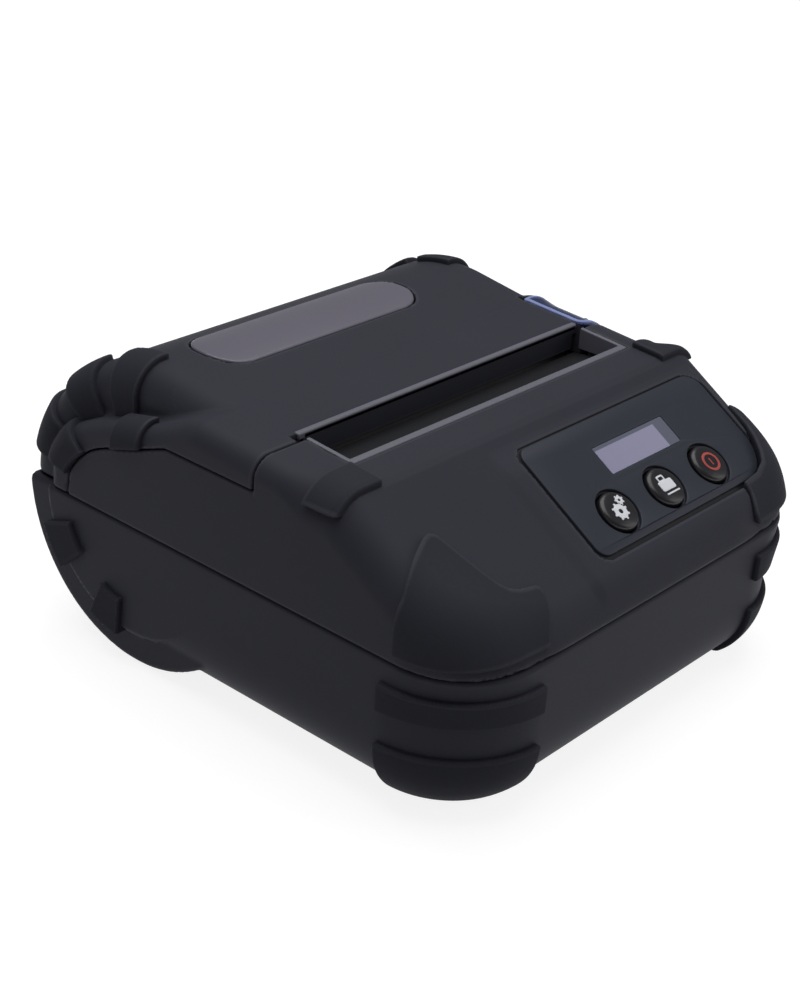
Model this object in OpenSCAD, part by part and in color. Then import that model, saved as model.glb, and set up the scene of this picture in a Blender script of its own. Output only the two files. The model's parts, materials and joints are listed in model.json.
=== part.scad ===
// Mobile printer for 80 mm paper rolls: a case in two halves, a drum shaped paper cover and a
// sloped control panel. x = 0 is the middle, and inside the modules y = 0 is the front face.

/* [Case] */
// Width of the case across its side walls
case_w = 107.8; // [104:0.1:116]
// Height of the joint between the two case halves
joint_z = 30.5; // [29.5:0.1:31]
// Radius of the front corners, seen from above
corner_r = 16.2; // [12:0.1:18]
// Thickness of the case walls
wall = 2.2; // [1.6:0.1:2.4]
// Height of the lip where the side walls start to turn under
turn_z = 12; // [9:0.5:14]
// How far the underside is drawn in from the side walls
tuck = 10.2; // [6:0.1:11]
// How far the raised rubber pieces stand out from the case
rubber_t = 1.2; // [0.8:0.1:1.5]

/* [Deck] */
// Angle of the sloped panel face
slope_a = 31.8; // [30:0.1:33]
// Height of the sloped face's plane at the front face
slope_z = 34.9; // [34.6:0.1:35.4]
// Height of the deck at the top of the slope
deck_z = 54.8; // [54.2:0.1:55.2]
// Rise of the deck from the top of the slope to the cover
deck_rise = 1.4; // [1:0.1:1.8]
// Distance from the front face to the joint of deck and cover
cover_y = 51.1; // [50.8:0.1:51.5]
// Height of the step that the panel lies in
plateau_t = 0.7; // [0.5:0.1:1]

/* [Paper] */
// Width of the case on each side of the paper slot's frame
slot_side = 12.9; // [12.4:0.1:13.5]
// Distance from the front face to the slot
slot_y = 39.8; // [39:0.1:40.4]
// Depth of the slot from front to back
slot_d = 13; // [12:0.1:13.2]
// Width of the narrow pale strips round the slot
strip_w = 1; // [0.8:0.1:1.3]
// Radius of the case's round rear end
drum_r = 30.8; // [30:0.1:31]
// Distance from the front face to the axis of the case's round rear end
drum_y = 83.6; // [83:0.1:84.4]
// Gap under the case's round rear end
drum_gap = 0.4; // [0.2:0.1:0.8]
// Radius of the cover's drum
lid_r = 29.1; // [28.6:0.1:29.6]
// Thickness of the tray that the roll lies in
tray_t = 1.4; // [1:0.1:1.6]
// Width of the window in the cover
window_w = 57.2; // [50:0.1:60]
// Length of the window from front to back
window_l = 15; // [14:0.1:16]
// How far the window's middle lies to the right of the cover's
window_x = -5.4; // [-8:0.1:0]

/* [Print mechanism] */
// Radius of the rubber platen
platen_r = 5.5; // [5:0.1:5.6]
// Height of the platen's axis
platen_z = 46.5; // [46:0.1:46.8]
// Distance from the front face to the platen's axis
platen_y = 58.1; // [57.8:0.1:58.6]
// Radius of the platen's shaft
shaft_r = 2; // [1.6:0.1:2.2]
// Tooth size: pitch diameter over number of teeth
tooth_m = 0.7; // [0.65:0.01:0.7]
// Teeth on the platen gear
platen_teeth = 20; // [20:4:20]
// Teeth on the idler gear
idler_teeth = 24; // [24:4:24]
// Teeth on the motor pinion
pinion_teeth = 12; // [12:4:12]
// Radius of the stepper motor
motor_r = 9; // [8:0.1:9.2]

/* [Cover hinge and lever] */
// Radius of the hinge pin
pin_r = 1; // [0.8:0.05:1.1]
// Outer radius of the hinge knuckles
knuckle_r = 2.2; // [2:0.1:2.4]
// Half the length of the hinge
hinge_half = 34; // [30:1:38]
// Length of the release lever
lever_l = 17.6; // [15:0.1:18]
// Width of the release lever
lever_w = 9; // [8:0.1:9.2]

/* [Panel] */
// Left edge of the control panel
panel_x = -10.4; // [-12:0.1:-9]
// Distance from the case's right side to the control panel
panel_side = 7.6; // [7.4:0.1:9]
// Length of the control panel along the slope
panel_l = 25.2; // [24.5:0.1:25.5]
// Distance along the slope from its foot to the panel
panel_y = 7.5; // [7:0.1:8]
// Thickness of the control panel
panel_t = 0.8; // [0.6:0.1:1]
// Radius of the buttons
button_r = 4.25; // [4:0.05:4.4]
// Distance between the buttons
button_step = 15; // [14:0.1:15.2]
// Travel of the buttons
button_travel = 0.6; // [0.3:0.1:0.7]

/* [Battery] */
// Length of the battery pack
battery_l = 71; // [68:0.5:72]
// Width of the battery pack
battery_w = 29.6; // [28:0.1:30]
// Height of the battery pack
battery_h = 17.4; // [16:0.1:17.6]

/* [Hidden] */
$fn = 64;
gap = 0.3;
fit = 0.05;
eps = 0.01;
big = 200;
half_w = case_w / 2;
inner_half = half_w - wall;
edge_r = 7;
drum_z = drum_r + drum_gap;
drum_at = [drum_y, drum_z];
drum_end = half_w - 1.3;
drum_round = 1.2;
bowl_end = half_w - 4.4;
cheek_r = drum_r - 6.8;
lid_at = [drum_y + 2.4, drum_z - 0.7];
lid_end = half_w - 2.7;
lid_round = 6;
slot_half = half_w - slot_side;
paper_w = 2 * slot_half - 1;
panel_w = half_w - panel_side - panel_x;
slot_back = slot_y + slot_d;
strip_front = 1.6 * strip_w;
hinge_y = lid_at[0] + lid_r + knuckle_r + gap;
hinge_z = joint_z;
front_end = rubber_t;
back_end = hinge_y + knuckle_r;
middle_y = (back_end - front_end) / 2;

// The slope's foot and top, and the deck's slight rise towards the cover
foot_y = 3.3;
slope_top_y = (deck_z - slope_z) / tan(slope_a);
cover_front_z = deck_z + deck_rise;
crest_y = drum_y - 0.552 * drum_r;
crest_z = drum_z + sqrt(pow(drum_r, 2) - pow(drum_y - crest_y, 2)) + 0.2;
crest = [crest_y, crest_z];

// The flat rise from the crest, which meets the cover's drum without a corner
ramp_a = atan2(crest_z - lid_at[1], crest_y - lid_at[0]) - acos(lid_r / norm(crest - lid_at));
ramp_end = lid_at + lid_r * direction(ramp_a);
window_y = lid_at[0] - 0.6;

// Places given in drum radii from the drum's axis
function round_drum(points) = [for (p = points) [drum_y + drum_r * p[0], drum_z + drum_r * p[1]]];
drum_seam_y = drum_y + 0.565 * drum_r;

// Side seam between the case's arms and the cover: points as [y, z]
seam_z = deck_z - 5;
SEAM = concat([[cover_y, seam_z], [drum_y - 0.325 * drum_r, seam_z]],
    round_drum([[-0.097, 0.52], [0.237, 0.406], [0.396, 0.315], [0.494, 0.217], [0.542, 0.133]]),
    [[drum_seam_y, joint_z]]);

// Top of the cheeks beside the drum, from the crest to the back
CHEEK = concat([[crest_y, crest_z]],
    round_drum([[-0.282, 0.782], [-0.023, 0.698], [0.247, 0.614], [0.432, 0.536], [0.594, 0.432],
        [0.701, 0.286], [0.753, 0.172]]), [[drum_y + 0.76 * drum_r, joint_z]]);

// Wall profile of the lower case: [inset, z]
WALL = [[0, joint_z], [0, turn_z + 6], [0.6, turn_z], [tuck * 0.18, turn_z * 0.62],
        [tuck * 0.35, turn_z * 0.4], [tuck * 0.76, turn_z * 0.1], [tuck, 0]];

// Rubber bands round the front corners of the lower case
band_x = half_w - 20.1;
band_y = 19.9;
band_z = 20.5;
band_h = 5.7;
low_band_z = 14;

// Print mechanism
function direction(a) = [cos(a), sin(a)];
platen_at = [platen_y, platen_z];
idler_dir = -128;
idler_at = platen_at + direction(idler_dir) * tooth_m * (platen_teeth + idler_teeth) / 2;
pinion_dir = 178;
pinion_at = idler_at + direction(pinion_dir) * tooth_m * (idler_teeth + pinion_teeth) / 2;
idler_turn = idler_dir + 180 + 180 / idler_teeth;
pinion_lag = (pinion_dir - idler_turn) * idler_teeth / pinion_teeth;
pinion_turn = pinion_dir + 180 + pinion_lag + 180 / pinion_teeth;
gear_x = -slot_half - 7.2;
gear_w = 3;
head_half = slot_half - 1;
plate_x = head_half + 2.5;
plate_t = 1;
arm_x = head_half + 1;
arm_t = 1;
bush_r = shaft_r + 1.2;
head_y = platen_y - platen_r - gap;
head_t = 1.4;
head_low = 39;
head_high = 49.6;
sink_t = 3.8;
head_pin_r = 0.9;
head_pin_at = [head_y - head_t - sink_t / 2, head_low + 1.8];
cross_y = head_y - head_t - sink_t - 3.4;

// Outlines seen from above: the step that the panel lies in, and the two horn shaped guards
function inward(points) = [for (p = points) [half_w - p[0], p[1]]];
ridge_x = panel_x - 5.7;
PLATEAU = concat([[ridge_x, 2.6]], inward([[20.3, 1.7], [19.2, 3.7], [19, 5.6], [14.3, 5.8], [10.9, 6.9],
    [9.3, 8.6], [7.5, 11.3], [6.4, 13.9], [6.1, 16.8], [6.1, 29.6]]), [[ridge_x, 29.6]]);
HORN_TIP = inward([[-6.1, 16.8], [0.9, 16.8], [12.9, 22.3], [13.7, 21.7], [14.4, 18.3], [16.3, 12.9],
    [18.9, 8.6], [20.7, 7.9], [25.2, 7.2], [20.3, 2.8], [20.3, -5], [-6.1, -5]]);
HORN_SHORT = inward([[-6.1, 16.8], [0.9, 16.8], [6.1, 19], [20.3, 19], [20.3, -5], [-6.1, -5]]);

// Places on the sloped face, as distances along it
display_x = panel_x + 17.1;
display_w = 22.5;
display_l = 6.4;
display_y = 20.7;
button_x = panel_x + 11.5;
button_y = 14;
panel_top = 0.45;
panel_floor = panel_top - panel_t;
board_gap = 5;
board_t = 1.2;
board_w = panel_w - 8.7;

// Battery bay
bay_y = 20.6;
bay_z = 3;
bay_wall = 1.2;
bay_end = half_w - 0.6;
battery_start = bay_end - battery_l;

// Case screws
screw_r = 1.3;
post_r = 3;
FRONT_POSTS = [for (s = [-1, 1]) [s * (half_w - 11.4), 12.5]];
REAR_POSTS = [for (s = [-1, 1]) [s * (half_w - 8.4), 62]];
screw_top = joint_z + 4;
head_seat = 3;

// Port recess on the right side
port_y = 65.6;
port_w = 19;
port_z = 13;
port_h = 10;
port_deep = 1.4;
flap_r = 0.6;
jack_y = port_y + 5;
usb_y = port_y + 13.5;
port_mid = port_z + port_h / 2 + 0.4;

// Clip holes in the underside
clip_step = 40;
clip_y = 68;
clip_r = 1.6;
insert_r = 2.25;
insert_h = 5;

// Release lever
lever_x = half_w - 9.5;
lever_y = cover_y + 1.2;
lever_low = 52;
lever_top = 56.4;
lever_pin_r = 0.9;
lever_pin_at = [lever_y + 3.4, 54];
notch_floor = 50.9;

black = "#23252b";
rubber = "#303238";

// Draws a side view, given as [y, z], from x = a to x = b
module along_x(a, b) {
    translate([a, 0, 0]) rotate([90, 0, 90]) linear_extrude(b - a) children();
}

// Draws a front view, given as [x, z], from y = a to y = b
module along_y(a, b) {
    translate([0, b, 0]) rotate([90, 0, 0]) linear_extrude(b - a) children();
}

// Moves a shape so that y = 0 becomes the middle of the whole printer
module placed() {
    translate([0, -middle_y, 0]) children();
}

// Puts a shape drawn flat onto the sloped face
module on_slope() {
    translate([0, 0, slope_z]) rotate([slope_a, 0, 0]) children();
}

// A box given by its two opposite corners
module box(low, high) {
    translate(low) cube(high - low);
}

// A rod along x, centred on a [y, z] place
module rod(at, r, a, b) {
    translate([a, at[0], at[1]]) rotate([0, 90, 0]) cylinder(r = r, h = b - a);
}

module both_sides() {
    children();
    mirror([1, 0, 0]) children();
}

// Plan of the case: a rectangle with two round front corners, grown by g
module plan(g, back) {
    union() {
        translate([-half_w - g, corner_r]) square([case_w + 2 * g, back - corner_r]);
        translate([corner_r - half_w, -g]) square([case_w - 2 * corner_r, corner_r + g + eps]);
        for (s = [-1, 1]) translate([s * (half_w - corner_r), corner_r]) circle(corner_r + g);
    }
}

// The lower case's outer shape without the drum, grown by g
module tub(g) {
    low = max(-g, 0);
    side = [for (p = WALL) [half_w - p[0] + g, max(p[1] - (p[1] == 0 ? g : 0), low)]];
    along_y(corner_r, drum_y)
        polygon(concat(side, [for (i = [len(side) - 1:-1:0]) [-side[i][0], side[i][1]]]));
    along_x(corner_r - half_w, half_w - corner_r)
        polygon(concat([for (p = side) [half_w - p[0], p[1]]], [[drum_y, low], [drum_y, joint_z]]));
    for (s = [-1, 1]) translate([s * (half_w - corner_r), corner_r, 0])
        rotate_extrude()
            polygon(concat([for (p = side) [p[0] - half_w + corner_r, p[1]]], [[0, low], [0, joint_z]]));
}

// A barrel about an axis across the printer, with round ends
module drum(at, r, end, round) {
    arc = [for (i = [0:6]) [r - round + round * sin(15 * i), end - round + round * cos(15 * i)]];
    back = [for (i = [6:-1:0]) [arc[i][0], -arc[i][1]]];
    translate([0, at[0], at[1]]) rotate([0, 90, 0])
        rotate_extrude($fn = 96) polygon(concat([[0, end]], arc, back, [[0, -end]]));
}

// A wedge of the side view about an axis, between two angles from the back
module wedge(at, a0, a1) {
    polygon([at, at + 60 * direction(a0), at + 60 * direction(a1)]);
}

module cheek_disc(g) {
    rod(drum_at, cheek_r + g, -half_w - g, half_w + g);
}

// Raised pivots of the cover's hinge: a barrel and its leaf on the drum
module knuckles(from_x, to_x, low, high) {
    rod([hinge_y, hinge_z], knuckle_r, from_x, to_x);
    box([from_x, hinge_y - knuckle_r - gap - 1.4, low], [to_x, hinge_y, high]);
}

module screw_posts(from_z, to_z) {
    for (p = concat(FRONT_POSTS, REAR_POSTS)) translate([p[0], p[1], from_z]) cylinder(r = post_r, h = to_z - from_z);
}

module lower_case() {
    color(black) difference() {
        union() {
            difference() {
                union() {
                    tub(0);
                    intersection() {
                        union() {
                            drum(drum_at, drum_r, drum_end, drum_round);
                            cheek_disc(0);
                        }
                        box([-big, 0, -1], [big, big, joint_z]);
                    }
                }
                // The hollow: a front room, the drum's bowl and the roof that joins them
                box([-inner_half + 3.6, corner_r - 5, wall], [inner_half - 3.6, 56, big]);
                box([-inner_half, corner_r, turn_z], [inner_half, 56, big]);
                box([corner_r - half_w, wall, turn_z * 0.7], [half_w - corner_r, corner_r + 1, big]);
                translate([0, 0, turn_z]) linear_extrude(big) offset_plan();
                drum(drum_at, drum_r - wall, bowl_end, drum_round);
                box([-inner_half + 3.6, 50, drum_z - 8], [inner_half - 3.6, drum_y, big]);
            }
            screw_posts(wall - eps, joint_z);
            for (x = [-1, 1]) translate([x * clip_step / 2, clip_y, eps]) cylinder(r = insert_r + 1.2, h = insert_h);
            difference() {
                intersection() {
                    box([battery_start - 3, bay_y - bay_wall, wall - eps],
                        [inner_half + eps, bay_y + battery_w + 2 * gap + bay_wall, bay_z + battery_h + 2 * gap + bay_wall]);
                    tub(-wall / 2);
                }
                box([battery_start - 3 + bay_wall, bay_y, bay_z],
                    [big, bay_y + battery_w + 2 * gap, bay_z + battery_h + 2 * gap]);
            }
            for (x = [battery_start - 2.3, half_w - 13.9], y = [24, 46]) translate([x, y, bay_z + battery_h + 2 * gap + eps]) cylinder(r = 2, h = 3.2 - 2 * gap - eps);
            for (x = [-hinge_half, -7, 20]) knuckles(x, x + 14, hinge_z - knuckle_r, hinge_z - gap);
        }
        // Battery mouth, screw holes, clip inserts, port recess and hinge bores
        box([0, bay_y, bay_z], [big, bay_y + battery_w + 2 * gap, bay_z + battery_h + 2 * gap]);
        for (p = concat(FRONT_POSTS, REAR_POSTS)) translate([p[0], p[1], -1]) {
            cylinder(r = screw_r, h = big);
            cylinder(r = 2.6, h = head_seat + 1);
        }
        for (x = [-1, 1]) translate([x * clip_step / 2, clip_y, -1]) cylinder(r = insert_r, h = insert_h);
        box([half_w - port_deep, port_y, port_z], [big, port_y + port_w, port_z + port_h]);
        rod([jack_y, port_mid], 4, inner_half - 3.2, big);
        box([inner_half - 3.2, usb_y - 4.7, port_mid - 1.9], [big, usb_y + 4.7, port_mid + 1.9]);
        rod([hinge_y, hinge_z], pin_r, -big, big);
    }
}

module offset_plan() {
    for (s = [-1, 1]) translate([s * (half_w - corner_r), corner_r]) circle(corner_r - wall);
}

// Side view of everything above the case joint, grown by g: slope, deck and cheeks
function upper_side(g, end) = concat(
    [[-g, joint_z], [-g, 33.6], [0.5 - g, 35.4], [foot_y - g * 0.6, slope_z + foot_y * tan(slope_a) + g * 0.8],
     [slope_top_y - g * 0.3, deck_z + g], [slope_top_y + 5, deck_z + 0.4 + g], [cover_y, cover_front_z + g]],
    end);

// Front view with round top edges, for a body of the given half width, grown by g
module section(half, g, low, high) {
    arc = [for (i = [0:6]) [half - edge_r, high - edge_r] + (edge_r + g) * direction(15 * i)];
    polygon(concat([[half + g, low]], arc, [for (i = [6:-1:0]) [-arc[i][0], arc[i][1]]], [[-half - g, low]]));
}

// The upper case's outer shape up to the given distance from the front, grown by g
module deck(g, back) {
    intersection() {
        translate([0, 0, joint_z]) linear_extrude(60) plan(g, back);
        along_x(-big, big) polygon(upper_side(g, [[cover_y + 20, cover_front_z + 1 + g], [cover_y + 20, joint_z]]));
        along_y(-10, back) section(half_w, g, 0, cover_front_z);
        on_slope() along_y(-30, big) section(half_w, g, -60, 0);
    }
}

// The arms that run back from the deck, below the side seam
module arm_side() {
    polygon(concat([[cover_y - 6, joint_z], [cover_y - 6, seam_z]], SEAM));
}

module upper_case() {
    color(black) difference() {
        union() {
            difference() {
                union() {
                    deck(0, cover_y);
                    plateau();
                }
                difference() {
                    intersection() {
                        translate([0, 0, joint_z - 1]) linear_extrude(60) plan(-wall, cover_y + 1);
                        along_y(-10, big) section(half_w, -wall, 0, cover_front_z);
                        on_slope() along_y(-30, big) section(half_w, -wall, -60, 0);
                    }
                    along_x(-big, big) polygon([[20, deck_z - wall], [slope_top_y, deck_z - wall],
                        [cover_y + 2, cover_front_z - wall], [cover_y + 2, 90], [20, 90]]);
                }
                box([-slot_half, slot_y, deck_z - wall - 2], [slot_half, big, big]);
            }
            both_sides() along_x(inner_half, half_w) arm_side();
            both_sides() box([inner_half - 9, REAR_POSTS[1][1] - post_r, joint_z + gap],
                [inner_half + eps, REAR_POSTS[1][1] + post_r, joint_z + 5]);
            for (p = FRONT_POSTS) translate([p[0], p[1], joint_z]) cylinder(r = post_r, h = 9);
            on_slope() for (x = [panel_x + 2.2, panel_x + board_w - 2.2], y = [panel_y + 2, panel_y + panel_l - 2])
                translate([x, y, -board_gap]) cylinder(r = 1.5, h = board_gap - 1);
        }
        // Panel recess with its display window and button holes
        on_slope() {
            translate([0, 0, panel_floor]) linear_extrude(5) panel_outline(gap);
            box([display_x, display_y, -5], [display_x + display_w, display_y + display_l, 5]);
            for (i = [0:2]) translate([button_x + i * button_step, button_y, -6]) cylinder(r = button_r + gap, h = 12);
        }
        for (p = concat(FRONT_POSTS, REAR_POSTS)) translate([p[0], p[1], joint_z - 1]) cylinder(r = screw_r, h = 5.5);
    }
}

// Slightly raised step on the sloped face, from the ridge left of the panel to the right guard
module plateau() {
    intersection() {
        on_slope() box([-big, 0, -1], [big, big, plateau_t]);
        linear_extrude(big) polygon(PLATEAU);
    }
}

// A horn shaped guard over the right front corner, within an outline seen from above
module guard(outline) {
    intersection() {
        difference() {
            deck(rubber_t, cover_y);
            deck(0, cover_y + 1);
        }
        translate([0, 0, joint_z + 1.1]) linear_extrude(40) polygon(outline);
    }
}

module guard_left() {
    color(rubber) mirror([1, 0, 0]) guard(HORN_TIP);
}

module guard_right() {
    color(rubber) difference() {
        guard(HORN_SHORT);
        linear_extrude(big) polygon(PLATEAU);
    }
}

// Two bands round the left front corner of the lower case
module corner_bands() {
    intersection() {
        difference() {
            tub(rubber_t);
            tub(0);
        }
        union() {
            box([-big, -5, band_z], [-band_x, band_y, band_z + band_h]);
            box([-big, -5, wall], [-band_x, band_y, low_band_z]);
        }
    }
}

module corner_bands_left() {
    color(rubber) corner_bands();
}

module corner_bands_right() {
    color(rubber) mirror([1, 0, 0]) corner_bands();
}

// The raised band beside the paper slot
module top_band() {
    intersection() {
        difference() {
            deck(rubber_t, cover_y);
            deck(0, cover_y + 1);
        }
        box([-big, slope_top_y, deck_z - 2.8], [-slot_half - 1, slope_top_y + 7.6, big]);
    }
}

module top_band_left() {
    color(rubber) top_band();
}

module top_band_right() {
    color(rubber) mirror([1, 0, 0]) top_band();
}

// A rib on the left end of the cover's drum, between two angles
module lid_rib(a0, a1, inner) {
    intersection() {
        difference() {
            drum(lid_at, lid_r + rubber_t, lid_end + rubber_t, lid_round + rubber_t);
            drum(lid_at, lid_r, lid_end, lid_round);
        }
        along_x(-lid_end, inner - half_w) wedge(lid_at, a0, a1);
    }
}

// Rubber over the cover's left shoulder, where the side view meets the given shape
module shoulder_rib() {
    intersection() {
        difference() {
            shoulders(rubber_t);
            shoulders(0);
            drum(lid_at, lid_r, lid_end, lid_round);
        }
        along_x(-big, 4.4 - half_w) children();
    }
}

// A rib on the left cheek, between two angles
module cheek_rib(a0, a1) {
    intersection() {
        difference() {
            cheek_disc(rubber_t);
            cheek_disc(0);
            drum(drum_at, drum_r, drum_end, drum_round);
            rod(drum_at, cheek_r - 7, -big, big);
        }
        along_x(-big, 1.5 - half_w) wedge(drum_at, a0, a1);
        box([-big, 0, 0], [0, big, joint_z]);
    }
}

module rear_ribs() {
    cheek_rib(-42, -20);
    cheek_rib(-85, -66);
}

module rear_ribs_left() {
    color(rubber) rear_ribs();
}

module rear_ribs_right() {
    color(rubber) mirror([1, 0, 0]) rear_ribs();
}

// Pale strips on the left, front and right of the paper slot
module slot_frame() {
    color("#9a9da4") intersection() {
        difference() {
            box([-slot_half, slot_y, deck_z - 3], [slot_half, cover_y, big]);
            box([-slot_half + strip_w, slot_y + strip_front, 0], [slot_half - strip_w, big, big]);
        }
        deck(0, cover_y);
    }
}

// The floor of the slot, which ends in a lip over the print head
module paper_chute() {
    y0 = slot_y + strip_front;
    y1 = head_y - head_t - sink_t - gap;
    color("#1b1c20") difference() {
        along_x(-slot_half + strip_w, slot_half - strip_w) polygon([[y0, deck_z - 0.6], [y0, deck_z - 5.4],
            [cross_y + 1, head_high - 1], [y1, head_high - 1], [y1, head_high + gap],
            [head_y - gap, head_high + gap], [head_y - gap, head_high + 1.1], [y1, head_high + 1.6],
            [y0 + 1.4, deck_z - 2.9], [y0 + 1.4, deck_z - 0.6]]);
        box([-slot_half + 3, y0 + 2.4, 0], [slot_half - 3, cross_y + 0.6, head_high - 0.2]);
    }
}

// The serrated edge that the paper is torn on
module tear_bar() {
    teeth = 52;
    half = slot_half - strip_w - 0.6;
    step = 2 * half / teeth;
    low = deck_z - 2.8;
    color("#8d9096") translate([0, slot_y + strip_front + 1.4, 0]) along_y(0, 0.6) polygon(concat(
        [[-half, low], [-half, low + 1.2]],
        [for (i = [0:teeth - 1], k = [0, 1]) [-half + (i + 0.5 * k + 0.25) * step, low + 1.2 + 0.7 * k]],
        [[half, low + 1.2], [half, low]]));
}

// Outline of the panel: round corners, with a wide one beside the right guard, grown by g
module panel_outline(g) {
    r = 2.5;
    wide = 8.5;
    high = 4;
    translate([panel_x, panel_y]) union() {
        translate([r, -g]) square([panel_w - r - wide, panel_l + 2 * g]);
        translate([-g, r]) square([panel_w + g - high, panel_l - 2 * r]);
        translate([r, wide]) square([panel_w + g - r, panel_l - wide - high]);
        translate([r, wide]) square([panel_w - r - high, panel_l + g - wide]);
        for (y = [r, panel_l - r]) translate([r, y]) circle(r + g);
        translate([panel_w - wide, wide]) circle(wide + g);
        translate([panel_w - high, panel_l - high]) circle(high + g);
    }
}

module control_panel() {
    color("#0b0c0f") on_slope() difference() {
        translate([0, 0, panel_floor]) linear_extrude(panel_t) panel_outline(0);
        box([display_x, display_y, -5], [display_x + display_w, display_y + display_l, 5]);
        for (i = [0:2]) translate([button_x + i * button_step, button_y, -6]) cylinder(r = button_r + gap, h = 12);
    }
}

module display_lens() {
    color("#a9a5bd") on_slope() box([display_x, display_y, -2.1], [display_x + display_w, display_y + display_l, panel_top]);
}

module display_module() {
    color("#50535a") on_slope() box([display_x - 2, display_y - 1, -board_gap],
        [display_x + display_w + 2, display_y + display_l + 1.6, -wall - 0.1]);
}

module panel_board() {
    color("#1f6a3c") on_slope() box([panel_x, panel_y, -board_gap - board_t],
        [panel_x + board_w, panel_y + panel_l, -board_gap]);
}

module panel_switches() {
    color("#8c8f94") on_slope() for (i = [0:2]) translate([button_x + i * button_step, button_y, -board_gap])
        cylinder(r = 2.6, h = board_gap - 2.6 - button_travel - gap);
}

// A domed button, drawn flat at its own place
module button(i) {
    top = panel_top + 0.5;
    low = -2.6;
    color("#0e0f12") on_slope() translate([button_x + i * button_step, button_y, 0]) rotate_extrude()
        polygon(concat([[0, low], [button_r, low]],
            [for (k = [0:5]) [button_r * cos(15 * k), top - 0.7 + 1.3 * sin(15 * k)]], [[0, top + 0.6]]));
}

module settings_button() {
    button(0);
}

module feed_button() {
    button(1);
}

module power_button() {
    button(2);
}

module main_board() {
    board_z = bay_z + battery_h + 3.2;
    color("#1f6a3c") box([12.9 - half_w, bay_y - 4, board_z], [half_w - 7.9, bay_y + 30, board_z + 1.6]);
}

module board_parts() {
    top = bay_z + battery_h + 4.8;
    color("#1a1b1e") {
        box([-6, bay_y, top], [6, bay_y + 12, top + 1.4]);
        box([12, bay_y + 16, top], [20, bay_y + 24, top + 1.2]);
        box([-20, bay_y + 18, top], [-12, bay_y + 25, top + 1.2]);
        box([half_w - 17.9, bay_y + 4, top], [half_w - 11.9, bay_y + 16, top + 4]);
        for (x = [24, 30]) translate([x, bay_y + 4, top]) cylinder(r = 2.2, h = 5);
    }
}

module radio_module() {
    top = bay_z + battery_h + 4.8;
    color("#b9bcc2") box([10, bay_y - 2, top], [20, bay_y + 12, top + 2]);
}

module buzzer() {
    top = bay_z + battery_h + 4.8;
    color("#15161a") translate([half_w - 22.9, bay_y + 13, top]) cylinder(r = 4.5, h = 4);
}

// Folded steel frame that holds the motor, the idler gear and the print head
module mechanism_frame() {
    side = [[27, 27], [27, 42], [35, deck_z - wall - gap], [cover_y - 1, deck_z - wall - gap],
            [cover_y - 1, 27]];
    color("#7e828a") difference() {
        union() {
            both_sides() along_x(plate_x, plate_x + plate_t) polygon(side);
            box([-26, cross_y, 28], [plate_x + eps, cross_y + plate_t, head_high - 1.4]);
            box([-plate_x - eps, cross_y - 3, 27], [plate_x + eps, cross_y + 1, 28]);
        }
        rod(pinion_at, pin_r + 0.6, -big, 0);
        rod(idler_at, 1.5, -big, 0);
        rod(head_pin_at, head_pin_r, -big, big);
        rod(pinion_at, motor_r + 0.4, -plate_x, -27);
    }
}

module stepper_motor() {
    color("#6b6e75") difference() {
        union() {
            rod(pinion_at, motor_r, -plate_x, -28);
            rod(pinion_at, 3, -28, -26.5);
        }
        rod(pinion_at, pin_r + fit, -big, -32);
    }
}

// A spur gear with involute teeth, drawn about a [y, z] place with a tooth at the given angle
function involute(r, base) = tan(acos(min(1, base / r))) * 180 / PI - acos(min(1, base / r));
module gear(teeth, at, turn, bore) {
    pitch = teeth * tooth_m / 2;
    base = pitch * cos(20);
    tip = pitch + 0.8 * tooth_m;
    root = pitch - 1.15 * tooth_m;
    half = 90 / teeth - 3.2 / teeth + involute(pitch, base);
    radii = [for (k = [0:3]) max(root, base) + (tip - max(root, base)) * k / 3];
    rise = concat([[root, half - involute(max(root, base), base)]], [for (r = radii) [r, half - involute(r, base)]]);
    along_x(gear_x, gear_x + gear_w) difference() {
        translate(at) rotate(turn) polygon([for (i = [0:teeth - 1], s = [-1, 1], k = [0:4])
            let (p = rise[s < 0 ? k : 4 - k], a = i * 360 / teeth + s * p[1]) p[0] * direction(a)]);
        translate(at) circle(bore);
    }
}

module platen_gear() {
    color("#d8d5c8") gear(platen_teeth, platen_at, idler_dir, shaft_r);
}

module idler_gear() {
    color("#d8d5c8") gear(idler_teeth, idler_at, idler_turn, 1.5 + fit);
}

module motor_pinion() {
    color("#b58a3c") {
        gear(pinion_teeth, pinion_at, pinion_turn, pin_r);
        rod(pinion_at, pin_r, gear_x, -34);
    }
}

module idler_pin() {
    color("#a7aab0") rod(idler_at, 1.5, gear_x - 0.3, -plate_x);
}

module head_pin() {
    color("#a7aab0") rod(head_pin_at, head_pin_r, -plate_x - plate_t, plate_x + plate_t);
}

// Ceramic print head, and the aluminium block behind it that takes its heat
module print_head() {
    color("#c9c4b4") box([-head_half, head_y - head_t, head_low + 0.6], [head_half, head_y, head_high]);
}

module head_heatsink() {
    color("#9b9ea4") difference() {
        union() {
            box([-head_half, head_y - head_t - sink_t, head_low + 3.6], [head_half, head_y - head_t, head_high]);
            both_sides() rod(head_pin_at, 1.9, head_half - 6, head_half);
            both_sides() box([head_half - 6, head_pin_at[0] - 1.9, head_pin_at[1]],
                [head_half, head_pin_at[0] + 1.9, head_low + 4]);
        }
        rod(head_pin_at, head_pin_r + fit, -big, big);
    }
}

module head_springs() {
    color("#a7aab0") for (x = [-14, 0, 14]) translate([x, cross_y + plate_t, 45]) rotate([-90, 0, 0]) difference() {
        cylinder(r = 1.8, h = 2.1);
        translate([0, 0, -1]) cylinder(r = 1.2, h = 5);
    }
}

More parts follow.
